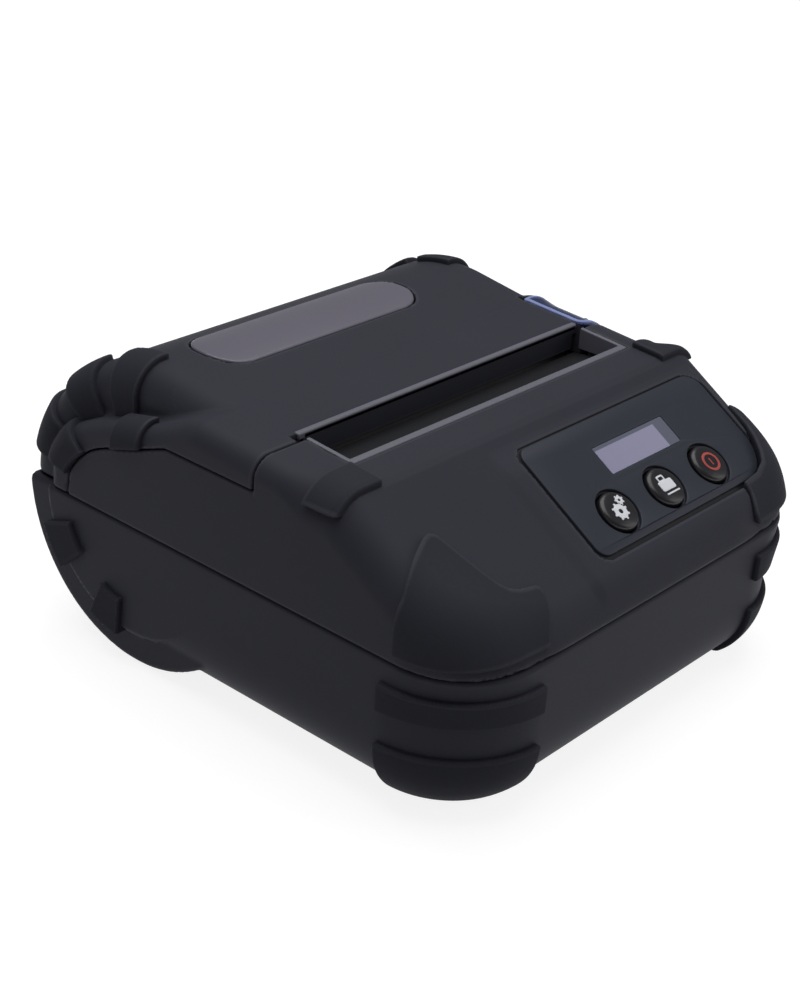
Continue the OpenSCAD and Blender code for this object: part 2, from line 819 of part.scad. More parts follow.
// Bowl that the paper roll lies in
module paper_tray() {
    outer = drum_r - wall - gap;
    half = paper_w / 2 + tray_t;
    color("#2a2c31") difference() {
        rod(drum_at, outer, -half, half);
        rod(drum_at, outer - tray_t, -half + tray_t, half - tray_t);
        rod(drum_at, 11, -big, big);
        box([-big, 0, joint_z - 0.5], [big, big, big]);
    }
}

module paper_sensor() {
    half = paper_w / 2 + tray_t;
    color("#15161a") box([-half - 2, drum_y - 8, 8], [-half, drum_y - 2, 14]);
}

module hinge_pin() {
    color("#a7aab0") rod([hinge_y, hinge_z], pin_r, -hinge_half + 0.2, hinge_half - 0.2);
}

module power_jack() {
    color("#17181b") difference() {
        rod([jack_y, port_mid], 3.8, half_w - 9.9, half_w - port_deep - 0.1);
        rod([jack_y, port_mid], 2.7, half_w - 7.9, big);
    }
}

module usb_port() {
    color("#a7aab0") difference() {
        box([half_w - 9.9, usb_y - 4.5, port_mid - 1.7], [half_w - port_deep - 0.1, usb_y + 4.5, port_mid + 1.7]);
        box([half_w - 7.9, usb_y - 4.1, port_mid - 1.3], [big, usb_y + 4.1, port_mid + 1.3]);
    }
}

// Rubber flap over the sockets, on a barrel along its lower edge
module port_cover() {
    x = half_w - flap_r - 0.15;
    z = port_z + gap + flap_r;
    color(rubber) {
        rod_y([x, z], flap_r, port_y + gap, port_y + port_w - gap);
        box([x - flap_r, port_y + gap, z], [x + flap_r, port_y + port_w - gap, port_z + port_h - gap]);
    }
}

// A rod along y, centred on an [x, z] place
module rod_y(at, r, a, b) {
    translate([at[0], b, at[1]]) rotate([90, 0, 0]) cylinder(r = r, h = b - a);
}

module battery_contacts() {
    x = battery_start - 3 + bay_wall;
    color("#c9a54a") for (y = [8, 15, 22]) box([x, bay_y + y - 2, bay_z + 5], [battery_start - gap, bay_y + y + 2, bay_z + 10]);
}

module battery_pack() {
    y0 = bay_y + gap;
    z0 = bay_z + gap;
    color("#1d1f24") difference() {
        intersection() {
            box([battery_start, y0, z0], [bay_end, y0 + battery_w, z0 + battery_h]);
            tub(bay_end - half_w);
        }
        box([bay_end - 2.4, y0 + 8, z0 + 5], [bay_end + 1, y0 + 22, z0 + 12]);
    }
}

// Sliding catch in the battery's end
module battery_latch() {
    y0 = bay_y + gap;
    z0 = bay_z + gap;
    color(rubber) {
        box([bay_end - 2.3, y0 + 8.3, z0 + 5.2], [bay_end - 0.8, y0 + 18.3, z0 + 11.8]);
        for (i = [0:3]) box([bay_end - 0.9, y0 + 10 + i * 2, z0 + 6], [bay_end, y0 + 10.8 + i * 2, z0 + 11]);
    }
}

module case_screws() {
    color("#8d9096") for (p = concat(FRONT_POSTS, REAR_POSTS)) translate([p[0], p[1], head_seat - 1.8]) {
        cylinder(r = 2.3, h = 1.8);
        cylinder(r = screw_r - fit, h = screw_top - head_seat);
    }
}

module clip_inserts() {
    color("#b58a3c") for (x = [-1, 1]) translate([x * clip_step / 2, clip_y, 0.3]) difference() {
        cylinder(r = insert_r, h = insert_h - 1.3);
        translate([0, 0, -1]) cylinder(r = clip_r, h = big);
    }
}

// Side view of the cover's own region inside the cheeks
module cover_region() {
    drop = 3;
    polygon(concat([[cover_y + gap, 70], [cover_y + gap, seam_z - drop]],
        [for (i = [1:6]) [SEAM[i][0] - 0.6, SEAM[i][1] - drop]],
        [[SEAM[7][0] - 1, joint_z + gap], [130, joint_z + gap], [130, 70]]));
}

// Side view of the cover's shoulders above the seam, their top grown by g
module cheek_side(g) {
    top = [for (p = CHEEK) p + g * (p - drum_at) / norm(p - drum_at)];
    polygon(concat([[cover_y + gap, cover_front_z + 0.05 + g]], top, [[SEAM[7][0] + gap, joint_z + gap]],
        [for (i = [6:-1:1]) SEAM[i] + [gap * 0.7, gap * 0.8]], [[cover_y + gap, seam_z + gap]]));
}

// The flat front and the two shoulders beside the cover's drum, grown by g
module shoulders(g) {
    intersection() {
        along_x(-half_w - g, half_w + g) cheek_side(g);
        along_y(0, big) section(half_w, g, 0, crest_z + 0.4);
    }
}

// The hollow under the cover's flat front, its rise and its drum
module cover_hollow() {
    end = lid_end - wall;
    drum(lid_at, lid_r - wall, end, lid_round - wall);
    along_x(-end, end) polygon([[cover_y - 5, seam_z - 5], [cover_y - 5, cover_front_z - wall],
        [crest_y, crest_z - wall], ramp_end - [0, wall], [95, seam_z - 8], [95, seam_z - 20]]);
}

module paper_cover() {
    color(black) difference() {
        union() {
            difference() {
                union() {
                    intersection() {
                        drum(lid_at, lid_r, lid_end, lid_round);
                        along_x(-big, big) cover_region();
                    }
                    intersection() {
                        along_x(-lid_end, lid_end) polygon([crest, ramp_end, ramp_end - [0, 12], crest - [0, 6]]);
                        along_y(0, big) section(lid_end, 0, 0, ramp_end[1]);
                    }
                    shoulders(0);
                }
                cover_hollow();
                box([-slot_half - gap, 0, 0], [slot_half + gap, slot_back, big]);
            }
            box([-slot_half + 1, slot_back, platen_z + platen_r - 0.5], [slot_half - 1, slot_back + 1.2, cover_front_z - 1]);
            box([lever_x - gap - 1.5, cover_y + gap, notch_floor - 1], [lid_end - 1, lever_y + lever_l + gap + 1.2, cover_front_z - 1]);
            for (x = [-19.7, 7.3]) knuckles(x, x + 12.4, hinge_z + gap, hinge_z + knuckle_r);
        }
        // Window seat, lever notch, strip seat and hinge bore
        translate([window_x, window_y, 50]) linear_extrude(30) window_plan();
        box([lever_x - gap, cover_y - 1, notch_floor], [big, lever_y + lever_l + gap, big]);
        box([-slot_half, slot_back - 1, cover_front_z - 1], [slot_half, slot_back + strip_w, big]);
        rod([hinge_y, hinge_z], pin_r + fit, -big, big);
        rod(lever_pin_at, lever_pin_r, lever_x - 2, big);
    }
}

// Outline of the window, seen from above: a long box with round corners
module window_plan() {
    r = window_l / 2 - 0.6;
    union() {
        square([window_w, window_l - 2 * r], center = true);
        square([window_w - 2 * r, window_l], center = true);
        for (x = [-1, 1], y = [-1, 1]) translate([x * (window_w / 2 - r), y * (window_l / 2 - r)]) circle(r);
    }
}

// Smoky window bent round the crown of the drum
module cover_window() {
    color([0.45, 0.42, 0.5, 0.6]) intersection() {
        translate([window_x, window_y, 50]) linear_extrude(30) window_plan();
        difference() {
            rod(lid_at, lid_r + 0.2, -big, big);
            rod(lid_at, lid_r - wall, -big, big);
        }
    }
}

module cover_ribs() {
    lid_rib(70, 87.5, 13.6);
    lid_rib(45, 60, 11.6);
    lid_rib(12, 33, 11.6);
    shoulder_rib() translate([drum_y - 3.9, joint_z]) square([7.8, 40]);
    shoulder_rib() wedge(drum_at, 13.5, 39.5);
}

module cover_ribs_left() {
    color(rubber) cover_ribs();
}

module cover_ribs_right() {
    color(rubber) mirror([1, 0, 0]) cover_ribs();
}

module cover_edge_bar() {
    color("#9a9da4") box([-slot_half, slot_back, cover_front_z - 1], [slot_half, slot_back + strip_w, cover_front_z + 0.05]);
}

// Plates under the cover that hold the platen's bushes
module platen_arms() {
    roof = cover_front_z - wall;
    color("#7e828a") difference() {
        both_sides() along_x(arm_x, arm_x + arm_t) union() {
            translate(platen_at) circle(bush_r + 1);
            translate([platen_y - 3, platen_z]) square([6, roof - platen_z]);
        }
        rod(platen_at, bush_r, -big, big);
    }
}

module platen_bushes() {
    color("#c9a54a") difference() {
        both_sides() rod(platen_at, bush_r, arm_x, arm_x + arm_t);
        rod(platen_at, shaft_r + fit, -big, big);
    }
}

module platen_roller() {
    color("#26272b") difference() {
        rod(platen_at, platen_r, -head_half, head_half);
        rod(platen_at, shaft_r, -big, big);
    }
}

module platen_shaft() {
    color("#a7aab0") rod(platen_at, shaft_r, gear_x, arm_x + arm_t + 1);
}

// Blue lever on the cover's right shoulder
module release_lever() {
    w = lever_w;
    color("#2b4f86") difference() {
        intersection() {
            along_y(lever_y, lever_y + lever_l) polygon([[lever_x, lever_low], [lever_x, lever_top],
                [lever_x + w * 0.4, lever_top - 0.2], [lever_x + w * 0.62, lever_top - 1],
                [lever_x + w * 0.8, lever_top - 2.2], [lever_x + w * 0.93, lever_low]]);
            along_x(0, big) union() {
                translate([lever_y, lever_low]) square([lever_l - 2.2, lever_top - lever_low]);
                translate([lever_y + lever_l - 2.2, (lever_low + lever_top) / 2]) circle((lever_top - lever_low) / 2);
            }
        }
        rod(lever_pin_at, lever_pin_r + fit, 0, big);
    }
}

module lever_pin() {
    color("#a7aab0") rod(lever_pin_at, lever_pin_r, lever_x - gap - 1.5, lever_x + lever_w - 2);
}

placed() lower_case();
placed() upper_case();
placed() guard_left();
placed() guard_right();
placed() corner_bands_left();
placed() corner_bands_right();
placed() top_band_left();
placed() top_band_right();
placed() rear_ribs_left();
placed() rear_ribs_right();
placed() slot_frame();
placed() paper_chute();
placed() tear_bar();
placed() control_panel();
placed() display_lens();
placed() display_module();
placed() panel_board();
placed() panel_switches();
placed() main_board();
placed() board_parts();
placed() radio_module();
placed() buzzer();
placed() mechanism_frame();
placed() stepper_motor();
placed() idler_pin();
placed() head_pin();
placed() head_springs();
placed() paper_tray();
placed() paper_sensor();
placed() hinge_pin();
placed() power_jack();
placed() usb_port();
placed() battery_contacts();
placed() case_screws();
placed() clip_inserts();
placed() paper_cover();
placed() cover_window();
placed() cover_ribs_left();
placed() cover_ribs_right();
placed() cover_edge_bar();
placed() platen_arms();
placed() platen_bushes();
placed() lever_pin();
placed() platen_roller();
placed() platen_shaft();
placed() platen_gear();
placed() idler_gear();
placed() motor_pinion();
placed() print_head();
placed() head_heatsink();
placed() release_lever();
placed() battery_pack();
placed() battery_latch();
placed() port_cover();
placed() settings_button();
placed() feed_button();
placed() power_button();
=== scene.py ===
# %% [markdown]
# # A rugged mobile printer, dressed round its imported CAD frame
# The CAD model already has every solid of this 80 mm paper printer, with its joints. This script
# gives it its looks. It loads the frame, which stays as it is, makes soft edged skins for the case,
# and gives every piece the finish of the real material. All lengths below are typed in millimetres,
# because the real object was measured that way, and one factor turns them into Blender's metres.

# %% Load the frame
import json
import math

import bmesh
import bpy
import mathutils.geometry
import numpy as np
from mathutils import Matrix, Vector


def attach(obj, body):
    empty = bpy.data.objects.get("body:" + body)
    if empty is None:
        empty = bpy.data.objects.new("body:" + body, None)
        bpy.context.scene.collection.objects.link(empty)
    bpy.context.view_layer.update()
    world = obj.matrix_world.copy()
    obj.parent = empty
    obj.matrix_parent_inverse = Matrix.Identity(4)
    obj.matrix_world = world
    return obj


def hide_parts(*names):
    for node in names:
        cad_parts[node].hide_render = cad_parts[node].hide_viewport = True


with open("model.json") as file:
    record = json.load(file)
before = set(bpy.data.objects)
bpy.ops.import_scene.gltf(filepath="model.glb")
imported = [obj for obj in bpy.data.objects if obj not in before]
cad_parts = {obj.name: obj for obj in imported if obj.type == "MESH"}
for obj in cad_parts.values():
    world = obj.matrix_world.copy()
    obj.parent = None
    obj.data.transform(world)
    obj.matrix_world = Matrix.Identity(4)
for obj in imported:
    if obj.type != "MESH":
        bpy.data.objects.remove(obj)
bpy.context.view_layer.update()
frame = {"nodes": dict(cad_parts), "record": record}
MM = 0.001
MIDDLE_Y = 59.3

# %% [markdown]
# ## The camera
# The photograph was taken with a long lens from the front left, a little above. A pinhole camera
# fitted to measured corners of the case gives these angles. The long lens keeps parallel edges
# nearly parallel, and the small roll is how the camera was held. Two tiny shifts put the optical
# axis where the fit found it, so that the render can be laid over the photograph.

# %% Camera
AZIMUTH = math.radians(-50.182)
ELEVATION = math.radians(26.765)
ROLL = math.radians(3.941)
DISTANCE = 379.632
AIM = Vector((0, 63.788 - MIDDLE_Y, 25.633))

back = Vector((math.sin(AZIMUTH) * math.cos(ELEVATION),
               -math.cos(AZIMUTH) * math.cos(ELEVATION),
               math.sin(ELEVATION)))
right = (-back).cross(Vector((0, 0, 1))).normalized()
up = right.cross(-back)
rolled_right = right * math.cos(ROLL) + up * math.sin(ROLL)
rolled_up = up * math.cos(ROLL) - right * math.sin(ROLL)
lens_data = bpy.data.cameras.new("photo_camera")
lens_data.lens = 67.67
lens_data.shift_x = 0.00426
lens_data.shift_y = -0.00142
lens_data.clip_start = 0.01
camera = bpy.data.objects.new("photo_camera", lens_data)
turn = Matrix((rolled_right, rolled_up, back)).transposed().to_4x4()
camera.matrix_world = Matrix.Translation((AIM + back * DISTANCE) * MM) @ turn
bpy.context.scene.collection.objects.link(camera)
bpy.context.scene.camera = camera
print("camera", round(DISTANCE), "mm away, lens", lens_data.lens, "mm")

# %% [markdown]
# ## Distance fields
# The real case is moulded, so all its edges are soft and its forms flow into each other: the drum
# into the shoulders, the slope into the front. Such a form could be modelled as a subdivision
# surface, but its crossing seams would pull the surface out of shape. Here each form is a distance
# field instead: a function that gives, for any place, how far it is outside the surface. Fields are
# cut and joined with a given edge radius, as a mould maker would note it in a drawing.


# %% Field helpers
def cut(a, b, edge):
    """The part that is inside both fields, with the edge between them rounded."""
    u = np.maximum(a + edge, 0)
    v = np.maximum(b + edge, 0)
    return np.minimum(np.maximum(a, b) + edge, 0) + np.sqrt(u * u + v * v) - edge


def join(a, b, fillet):
    """Both fields as one, with the inner corner between them filled."""
    return -cut(-a, -b, fillet)


def skin(field, wall):
    """The outer wall of a solid field."""
    return np.maximum(field, -field - wall)


def slab(value, low, high):
    """The space between two values of one coordinate."""
    return np.maximum(low - value, value - high)


def block(x, y, z, low, high, edge=0.0):
    """A box between two corners, with rounded edges."""
    one = cut(slab(x, low[0], high[0]), slab(y, low[1], high[1]), edge)
    return cut(one, slab(z, low[2], high[2]), edge)


def rod(u, v, at, radius):
    return np.sqrt((u - at[0]) ** 2 + (v - at[1]) ** 2) - radius


def outline(points, u, v):
    """Distance to a closed outline drawn flat, negative inside it."""
    near = np.full(np.broadcast(u, v).shape, 1e9)
    side = np.ones(near.shape)
    for (au, av), (bu, bv) in zip(points, points[1:] + points[:1]):
        eu, ev = bu - au, bv - av
        wu, wv = u - au, v - av
        along = np.clip((wu * eu + wv * ev) / (eu * eu + ev * ev), 0, 1)
        near = np.minimum(near, (wu - eu * along) ** 2 + (wv - ev * along) ** 2)
        above = v >= av
        below = v < bv
        left = eu * wv > ev * wu
        side = np.where((above & below & left) | (~above & ~below & ~left), -side, side)
    return side * np.sqrt(near)


def curve_through(points, steps=6):
    """More points on a smooth curve through the given ones."""
    p = [points[0]] + list(points) + [points[-1]]
    out = []
    for a, b, c, d in zip(p, p[1:], p[2:], p[3:]):
        for i in range(steps):
            t = i / steps
            out.append(tuple(0.5 * (2 * b[k] + (c[k] - a[k]) * t
                                    + (2 * a[k] - 5 * b[k] + 4 * c[k] - d[k]) * t * t
                                    + (3 * b[k] - a[k] - 3 * c[k] + d[k]) * t ** 3) for k in (0, 1)))
    return out + [tuple(points[-1])]


# %% [markdown]
# ## From a field to a mesh
# The field is sampled on a grid. Each grid cell that the surface passes through gets one point, and
# points of neighbouring cells are joined into quads, a method called surface nets. The points are
# then slid along the field's slope until they lie exactly on the surface, and the slope is stored as
# the point's normal, so that flat faces stay flat in the light and small radii look round. Just under
# an outer edge the surface is nearer than its depth says, and this is kept as an "edge" value, with
# which the materials lighten the outer edges as a painted highlight, where edges catch the light.


# %% Surface nets
def slope(field, p):
    reach = 0.02
    g = np.empty_like(p)
    for k in range(3):
        step = np.zeros(3)
        step[k] = reach
        high = p + step
        low = p - step
        g[:, k] = field(*high.T) - field(*low.T)
    return g / (2 * reach)


def mesh_from_field(name, field, low, high, cell):
    axes = [np.arange(low[k] - cell, high[k] + 2 * cell, cell) for k in range(3)]
    size = tuple(len(a) for a in axes)
    d = np.array(np.broadcast_to(field(*np.ix_(*axes)), size))
    inside = d < 0
    count = np.zeros(tuple(n - 1 for n in size), int)
    for i in (0, 1):
        for j in (0, 1):
            for k in (0, 1):
                count += inside[i:size[0] - 1 + i, j:size[1] - 1 + j, k:size[2] - 1 + k]
    mixed = (count > 0) & (count < 8)
    number = np.full(mixed.shape, -1)
    number[mixed] = np.arange(mixed.sum())
    cells = np.stack(np.nonzero(mixed), 1)
    total = np.zeros((len(cells), 3))
    hits = np.zeros(len(cells))
    for axis in range(3):
        for a in (0, 1):
            for b in (0, 1):
                start = cells.copy()
                start[:, (axis + 1) % 3] += a
                start[:, (axis + 2) % 3] += b
                end = start.copy()
                end[:, axis] += 1
                d0, d1 = d[tuple(start.T)], d[tuple(end.T)]
                cross = (d0 < 0) != (d1 < 0)
                t = np.where(cross, d0 / np.where(cross, d0 - d1, 1), 0)
                place = start.astype(float)
                place[:, axis] += t
                total += place * cross[:, None]
                hits += cross
    points = total / hits[:, None] * cell + np.array([a[0] for a in axes])
    quads = []
    for axis in range(3):
        u, v = (axis + 1) % 3, (axis + 2) % 3
        first = [slice(None)] * 3
        second = [slice(None)] * 3
        first[axis], second[axis] = slice(0, -1), slice(1, None)
        change = inside[tuple(first)].astype(int) - inside[tuple(second)]
        at = np.stack(np.nonzero(change), 1)
        way = change[tuple(at.T)]
        kept = (at[:, u] > 0) & (at[:, v] > 0)
        kept &= (at[:, u] < size[u] - 1) & (at[:, v] < size[v] - 1)
        at, way = at[kept], way[kept]
        ring = []
        for du, dv in ((0, 0), (1, 0), (1, 1), (0, 1)):
            c = at.copy()
            c[:, u] -= du
            c[:, v] -= dv
            ring.append(number[tuple(c.T)])
        ring = np.stack(ring, 1)
        ring[way < 0] = ring[way < 0][:, ::-1]
        quads.append(ring)
    quads = np.concatenate(quads)
    for _ in range(4):
        g = slope(field, points)
        length = np.maximum((g * g).sum(1), 0.3)
        move = g * (field(*points.T) / length)[:, None]
        limit = np.maximum(np.linalg.norm(move, axis=1) / (0.45 * cell), 1)
        points -= move / limit[:, None]
    normals = slope(field, points)
    normals /= np.maximum(np.linalg.norm(normals, axis=1), 1e-6)[:, None]
    # The edge value marks the outer edges, which the materials lighten as a painted highlight.
    edges = np.clip((field(*(points - 0.7 * normals).T) + 0.7) / 0.35, 0, 1)
    return piece(name, points, quads, normals, edges)


def piece(name, points, faces, normals=None, edges=None):
    """A mesh object from points in millimetres, measured from the printer's front."""
    mesh = bpy.data.meshes.new(name)
    place = (np.asarray(points, float) - (0, MIDDLE_Y, 0)) * MM
    mesh.from_pydata(place.tolist(), [], np.asarray(faces).tolist() if normals is not None else faces)
    mesh.update()
    if normals is not None:
        mesh.shade_smooth()
        mesh.normals_split_custom_set_from_vertices(normals.tolist())
    if edges is not None:
        mesh.attributes.new("edge", "FLOAT", "POINT").data.foreach_set("value", edges)
    made = bpy.data.objects.new(name, mesh)
    bpy.context.scene.collection.objects.link(made)
    print(name, len(mesh.vertices), "points", len(mesh.polygons), "faces")
    return made


# %% [markdown]
# ## The printer's outer form
# All skins are cut from one body, so their surfaces meet at the seams without a step. Seen from
# above the case is a rectangle with two large front corners. Seen from the side it has a panel
# slope, a nearly flat deck, and a drum for the paper roll. The drum stands between two flatter
# shoulders, whose upper edge runs down in a curve to the back.

# %% Sizes of the form
HALF = 53.9
CORNER = 16.2
JOINT = 30.5
SLOPE = math.radians(31.8)
SLOPE_Z = 34.9
DECK_Z = 54.8
DECK_Y = (DECK_Z - SLOPE_Z) / math.tan(SLOPE)
COVER_Y = 51.1
COVER_Z = 56.2
AXIS = (83.6, 31.2)
ROUND_END = 30.8
CHEEK = 24.0
LID = (86.0, 30.5)
LID_R = 29.1
CREST = (66.6, 57.1)
PROUD = 1.2
SLOT_X = 41.0
SLOT_BACK = 52.8
SHOULDER = [(66.6, 57.1), (70.0, 56.2), (74.0, 54.3), (80, 51.8), (85, 50.6), (91.2, 49.0), (96.9, 46.9),
            (101.9, 44.1), (105.2, 40), (106.8, 36.5), (107.2, 30.5)]
SEAM = [(COVER_Y, 49.8), (73.6, 49.8), (80.6, 47.2), (90.9, 43.7), (95.8, 40.9), (98.8, 37.9),
        (100.3, 35.3), (101, 30.5)]
FOOT_Z = SLOPE_Z - 20 * math.tan(SLOPE)
SIDE_VIEW = ([(-20, -40), (-20, FOOT_Z), (DECK_Y - 0.8, DECK_Z - 0.5), (DECK_Y + 0.9, DECK_Z + 0.05),
              (COVER_Y, COVER_Z)] + curve_through(SHOULDER, 4) + [(107.2, -40)])
ARM_VIEW = ([(-20, -40), (-20, 90), (COVER_Y, 90), SEAM[0]] + curve_through(SEAM[1:], 4) + [(101, -40)])

# The flat rise from the crest runs into the cover's drum without a corner.
away = math.hypot(CREST[0] - LID[0], CREST[1] - LID[1])
touch = math.atan2(CREST[1] - LID[1], CREST[0] - LID[0]) - math.acos(LID_R / away)
RISE_END = (LID[0] + LID_R * math.cos(touch), LID[1] + LID_R * math.sin(touch))
rise = (RISE_END[1] - CREST[1]) / (RISE_END[0] - CREST[0])
RAMP = [(56, 40), (56, CREST[1] - rise * (CREST[0] - 56)), RISE_END, (RISE_END[0], 40)]


# %% Fields of the form
def plan(x, y, corner=CORNER):
    """The case from above, open to the back."""
    dx = np.abs(x) - (HALF - corner)
    dy = corner - y
    out = np.sqrt(np.maximum(dx, 0) ** 2 + np.maximum(dy, 0) ** 2)
    return out + np.minimum(np.maximum(dx, dy), 0) - corner


def ease(value, low, high):
    """Runs smoothly from 0 to 1 between two values."""
    t = np.clip((value - low) / (high - low), 0, 1)
    return t * t * (3 - 2 * t)


def drum(x, y, z):
    """The cover's barrel round the paper roll, with the rise in front of it."""
    side = np.minimum(rod(y, z, LID, LID_R), outline(RAMP, y, z))
    end = 51.7 - 3.7 * (1 - ease(y, 94, 110))
    return cut(side, np.abs(x) - end, 5 + 1.5 * ease(z, JOINT, JOINT + 20))


def upper_body(x, y, z):
    """The long top edges are rounder on the lever's side, and tight beside the drum."""
    rear = ease(y, 68, 80)
    lever_side = 2.8 + 4.4 * ease(y, 33, 38) * (1 - ease(y, 62, 74)) - 3.8 * rear
    plain_side = 2.8 - 2.8 * ease(y, 38, 46) - rear
    side = np.where(x > 0, lever_side, plain_side)
    return cut(plan(x, y), outline(SIDE_VIEW, y, z), 4.2 + side * ease(np.abs(x), 26, 42))


def whole_top(x, y, z):
    return join(upper_body(x, y, z), drum(x, y, z), 0.2 + 1.0 * ease(np.abs(x), 42, 49))


def lower_body(x, y, z):
    """The case's lower half: its walls turn under, and the drum and cheeks bulge at the back."""
    fall = np.clip(1 - z / 18, 0, 1)
    lean = 1 / np.sqrt(1 + (1.8 * fall ** 2.2) ** 2)
    corner = CORNER + 4.4 * np.clip((JOINT - z) / 10, 0, 1)
    tub = cut((plan(x, y, corner) + 10.2 * fall ** 3.2) * lean, -z, 0.8)
    tub = cut(tub, y - AXIS[0], 0.5)
    cheek = cut(rod(y, z, AXIS, CHEEK), np.abs(x) - HALF, 1.0)
    bowl = cut(rod(y, z, AXIS, ROUND_END), np.abs(x) - 52.6, 1.2)
    return np.maximum(join(np.minimum(tub, cheek), bowl, 0.2), -z)


print("slope meets deck at y", round(DECK_Y, 1), "rise meets drum at", [round(v, 1) for v in RISE_END])

# %% [markdown]
# ## The three case skins
# The upper case carries the panel and sends an arm back along each side, the cover closes the paper
# compartment between the arms, and the lower case holds the battery. Each is its part of the body's
# wall, cut off at the seams with a small radius. Two neighbours leave 0.3 mm free between them,
# which is the thin dark line that the photograph shows.

# %% Upper case
WALL = 2.2
SEAM_EDGE = 0.35
DISPLAY = (6.7, 20.7, 29.2, 27.1)
BUTTONS = [(1.1, 14.0), (16.1, 14.0), (31.1, 14.0)]
BUTTON_R = 4.25
PLATEAU = [(-24, -3), (33.6, -3), (33.6, 1.2), (34.7, 3.7), (34.9, 5.6), (39.6, 5.8), (43, 6.9), (44.6, 8.6),
           (46.4, 11.3), (47.5, 13.9), (47.8, 16.8), (47.8, 31.2), (-24, 31.2)]


def on_slope(y, z):
    """Distance along the sloped face from its foot, and height above it."""
    along = y * math.cos(SLOPE) + (z - SLOPE_Z) * math.sin(SLOPE)
    height = -y * math.sin(SLOPE) + (z - SLOPE_Z) * math.cos(SLOPE)
    return along, height


def panel_outline(x, s):
    """The control panel's outline on the slope, with one wide corner beside the right guard."""
    u = x + 10.4
    v = s - 7.5
    small = cut(slab(u, 0, 56.7), slab(v, 0, 25.2), 2.5)
    wide = cut(slab(u, -20, 56.7), slab(v, 0, 60), 8.5)
    high = cut(slab(u, -20, 56.7), slab(v, -60, 25.2), 4)
    return np.maximum(np.maximum(small, wide), high)


def plateau(x, y, z):
    """The panel's step, which fades out to the deck above and in a soft ridge to the left."""
    step = 0.75 * ease(x, -18.2, -14.8) * (1 - ease(y, 23, 31)) * ease(z, 32.5, 38) - 0.05
    return cut(outline(PLATEAU, x, y), upper_body(x, y, z) - step, 0.35)


def arm_lip(x, y, z, arms):
    """A tongue behind the seam, so that one doesn't see through the gap beside the cover."""
    depth = -upper_body(x, y, z)
    tongue = np.maximum(slab(depth, 2.45, 3.2), slab(arms, -1.2, 1.8))
    root = np.maximum(slab(depth, 1.5, 3.2), slab(arms, -1.2, -0.3))
    ends = np.maximum(72 - y, JOINT + 0.4 - z)
    return np.maximum(np.maximum(np.minimum(tongue, root), ends), 49.8 - np.abs(x))


def upper_case(x, y, z):
    shape = skin(np.minimum(upper_body(x, y, z), plateau(x, y, z)), WALL)
    arms = outline(ARM_VIEW, y, z)
    middle = np.maximum(COVER_Y - y, np.abs(x) - 49.5)
    shape = cut(cut(shape, arms, 0.3), -middle, 0.3)
    shape = cut(shape, JOINT + 0.12 - z, SEAM_EDGE)
    shape = np.minimum(shape, arm_lip(x, y, z, arms))
    slot = block(x, y, z, (-SLOT_X - 0.05, 39.75, 50), (SLOT_X + 0.05, 70, 80))
    s, h = on_slope(y, z)
    recess = cut(panel_outline(x + 0.35, s + 0.35) - 0.65, -h - 0.35, 0.1)
    shape = cut(np.maximum(shape, -slot), -recess, 0.25)
    glass = np.maximum(slab(x, DISPLAY[0], DISPLAY[2]), slab(s, DISPLAY[1], DISPLAY[3]))
    shape = np.maximum(shape, -glass)
    for u, v in BUTTONS:
        shape = np.maximum(shape, -(rod(x, s, (u, v), BUTTON_R + 0.3)))
    return shape


upper_skin = mesh_from_field("upper_case_skin", upper_case, (-54, -0.1, 30), (54, 102, 57), 0.55)

# %% [markdown]
# ## The paper cover
# The cover is the lid of the paper compartment, hinged at the very back. It takes in the upper half of
# the drum and the shoulders, and leaves room for the slot, the window and the lever. Two of the five
# hinge barrels belong to it. The other three stand on the lower case, between them.

# %% Paper cover
GAP = 0.3
COVER_KNUCKLES = [(-19.7, -7.3), (7.3, 19.7)]
WINDOW_X = -5.4
WINDOW_Y = 85.4
LEVER_X = 42.1
LEVER_FRONT = 52.3
LEVER_END = 68.6
HINGE = (117.6, 30.5)


def window_outline(x, y):
    return cut(slab(x, WINDOW_X - 28.6, WINDOW_X + 28.6), slab(y, WINDOW_Y - 7.5, WINDOW_Y + 7.5), 6.9)


def knuckles(x, y, z, spans, leaf_low, leaf_high):
    """The hinge's barrels, each with the leaf that holds it to the drum."""
    shape = 1e3
    for a, b in spans:
        barrel = cut(rod(y, z, HINGE, 2.2), slab(x, a, b), 0.3)
        leaf = block(x, y, z, (a, 113.3, leaf_low), (b, HINGE[0], leaf_high), 0.3)
        shape = np.minimum(shape, np.minimum(barrel, leaf))
    return shape


def paper_cover(x, y, z):
    shape = skin(whole_top(x, y, z), WALL)
    shape = cut(shape, GAP - outline(ARM_VIEW, y, z), SEAM_EDGE)
    shape = cut(shape, JOINT + GAP - z, SEAM_EDGE)
    wall = block(x, y, z, (-SLOT_X + 0.6, SLOT_BACK, 50.9), (SLOT_X - 0.6, SLOT_BACK + 1.4, 55.6))
    shape = np.minimum(shape, wall)
    slot = block(x, y, z, (-SLOT_X - 0.3, 40, 40), (SLOT_X + 0.3, SLOT_BACK, 80))
    corner = block(x, y, z, (-SLOT_X - 1.7, 40, 53.6), (-SLOT_X + 1, SLOT_BACK + 0.5, 80), 0.2)
    slot = np.minimum(slot, corner)
    notch = block(x, y, z, (LEVER_X - 0.3, 50, 50.9), (70, LEVER_END + 0.3, 80))
    pocket = block(x, y, z, (41.4, COVER_Y + 0.3, 49.9), (50.2, LEVER_END + 1.2, 54.6))
    shape = np.minimum(np.maximum(shape, -notch), np.maximum(pocket, -notch))
    hole = np.maximum(window_outline(x, y) - 0.05, 50 - z)
    shape = np.maximum(np.maximum(shape, -slot), -hole)
    return np.minimum(shape, knuckles(x, y, z, COVER_KNUCKLES, 30.8, 32.7))


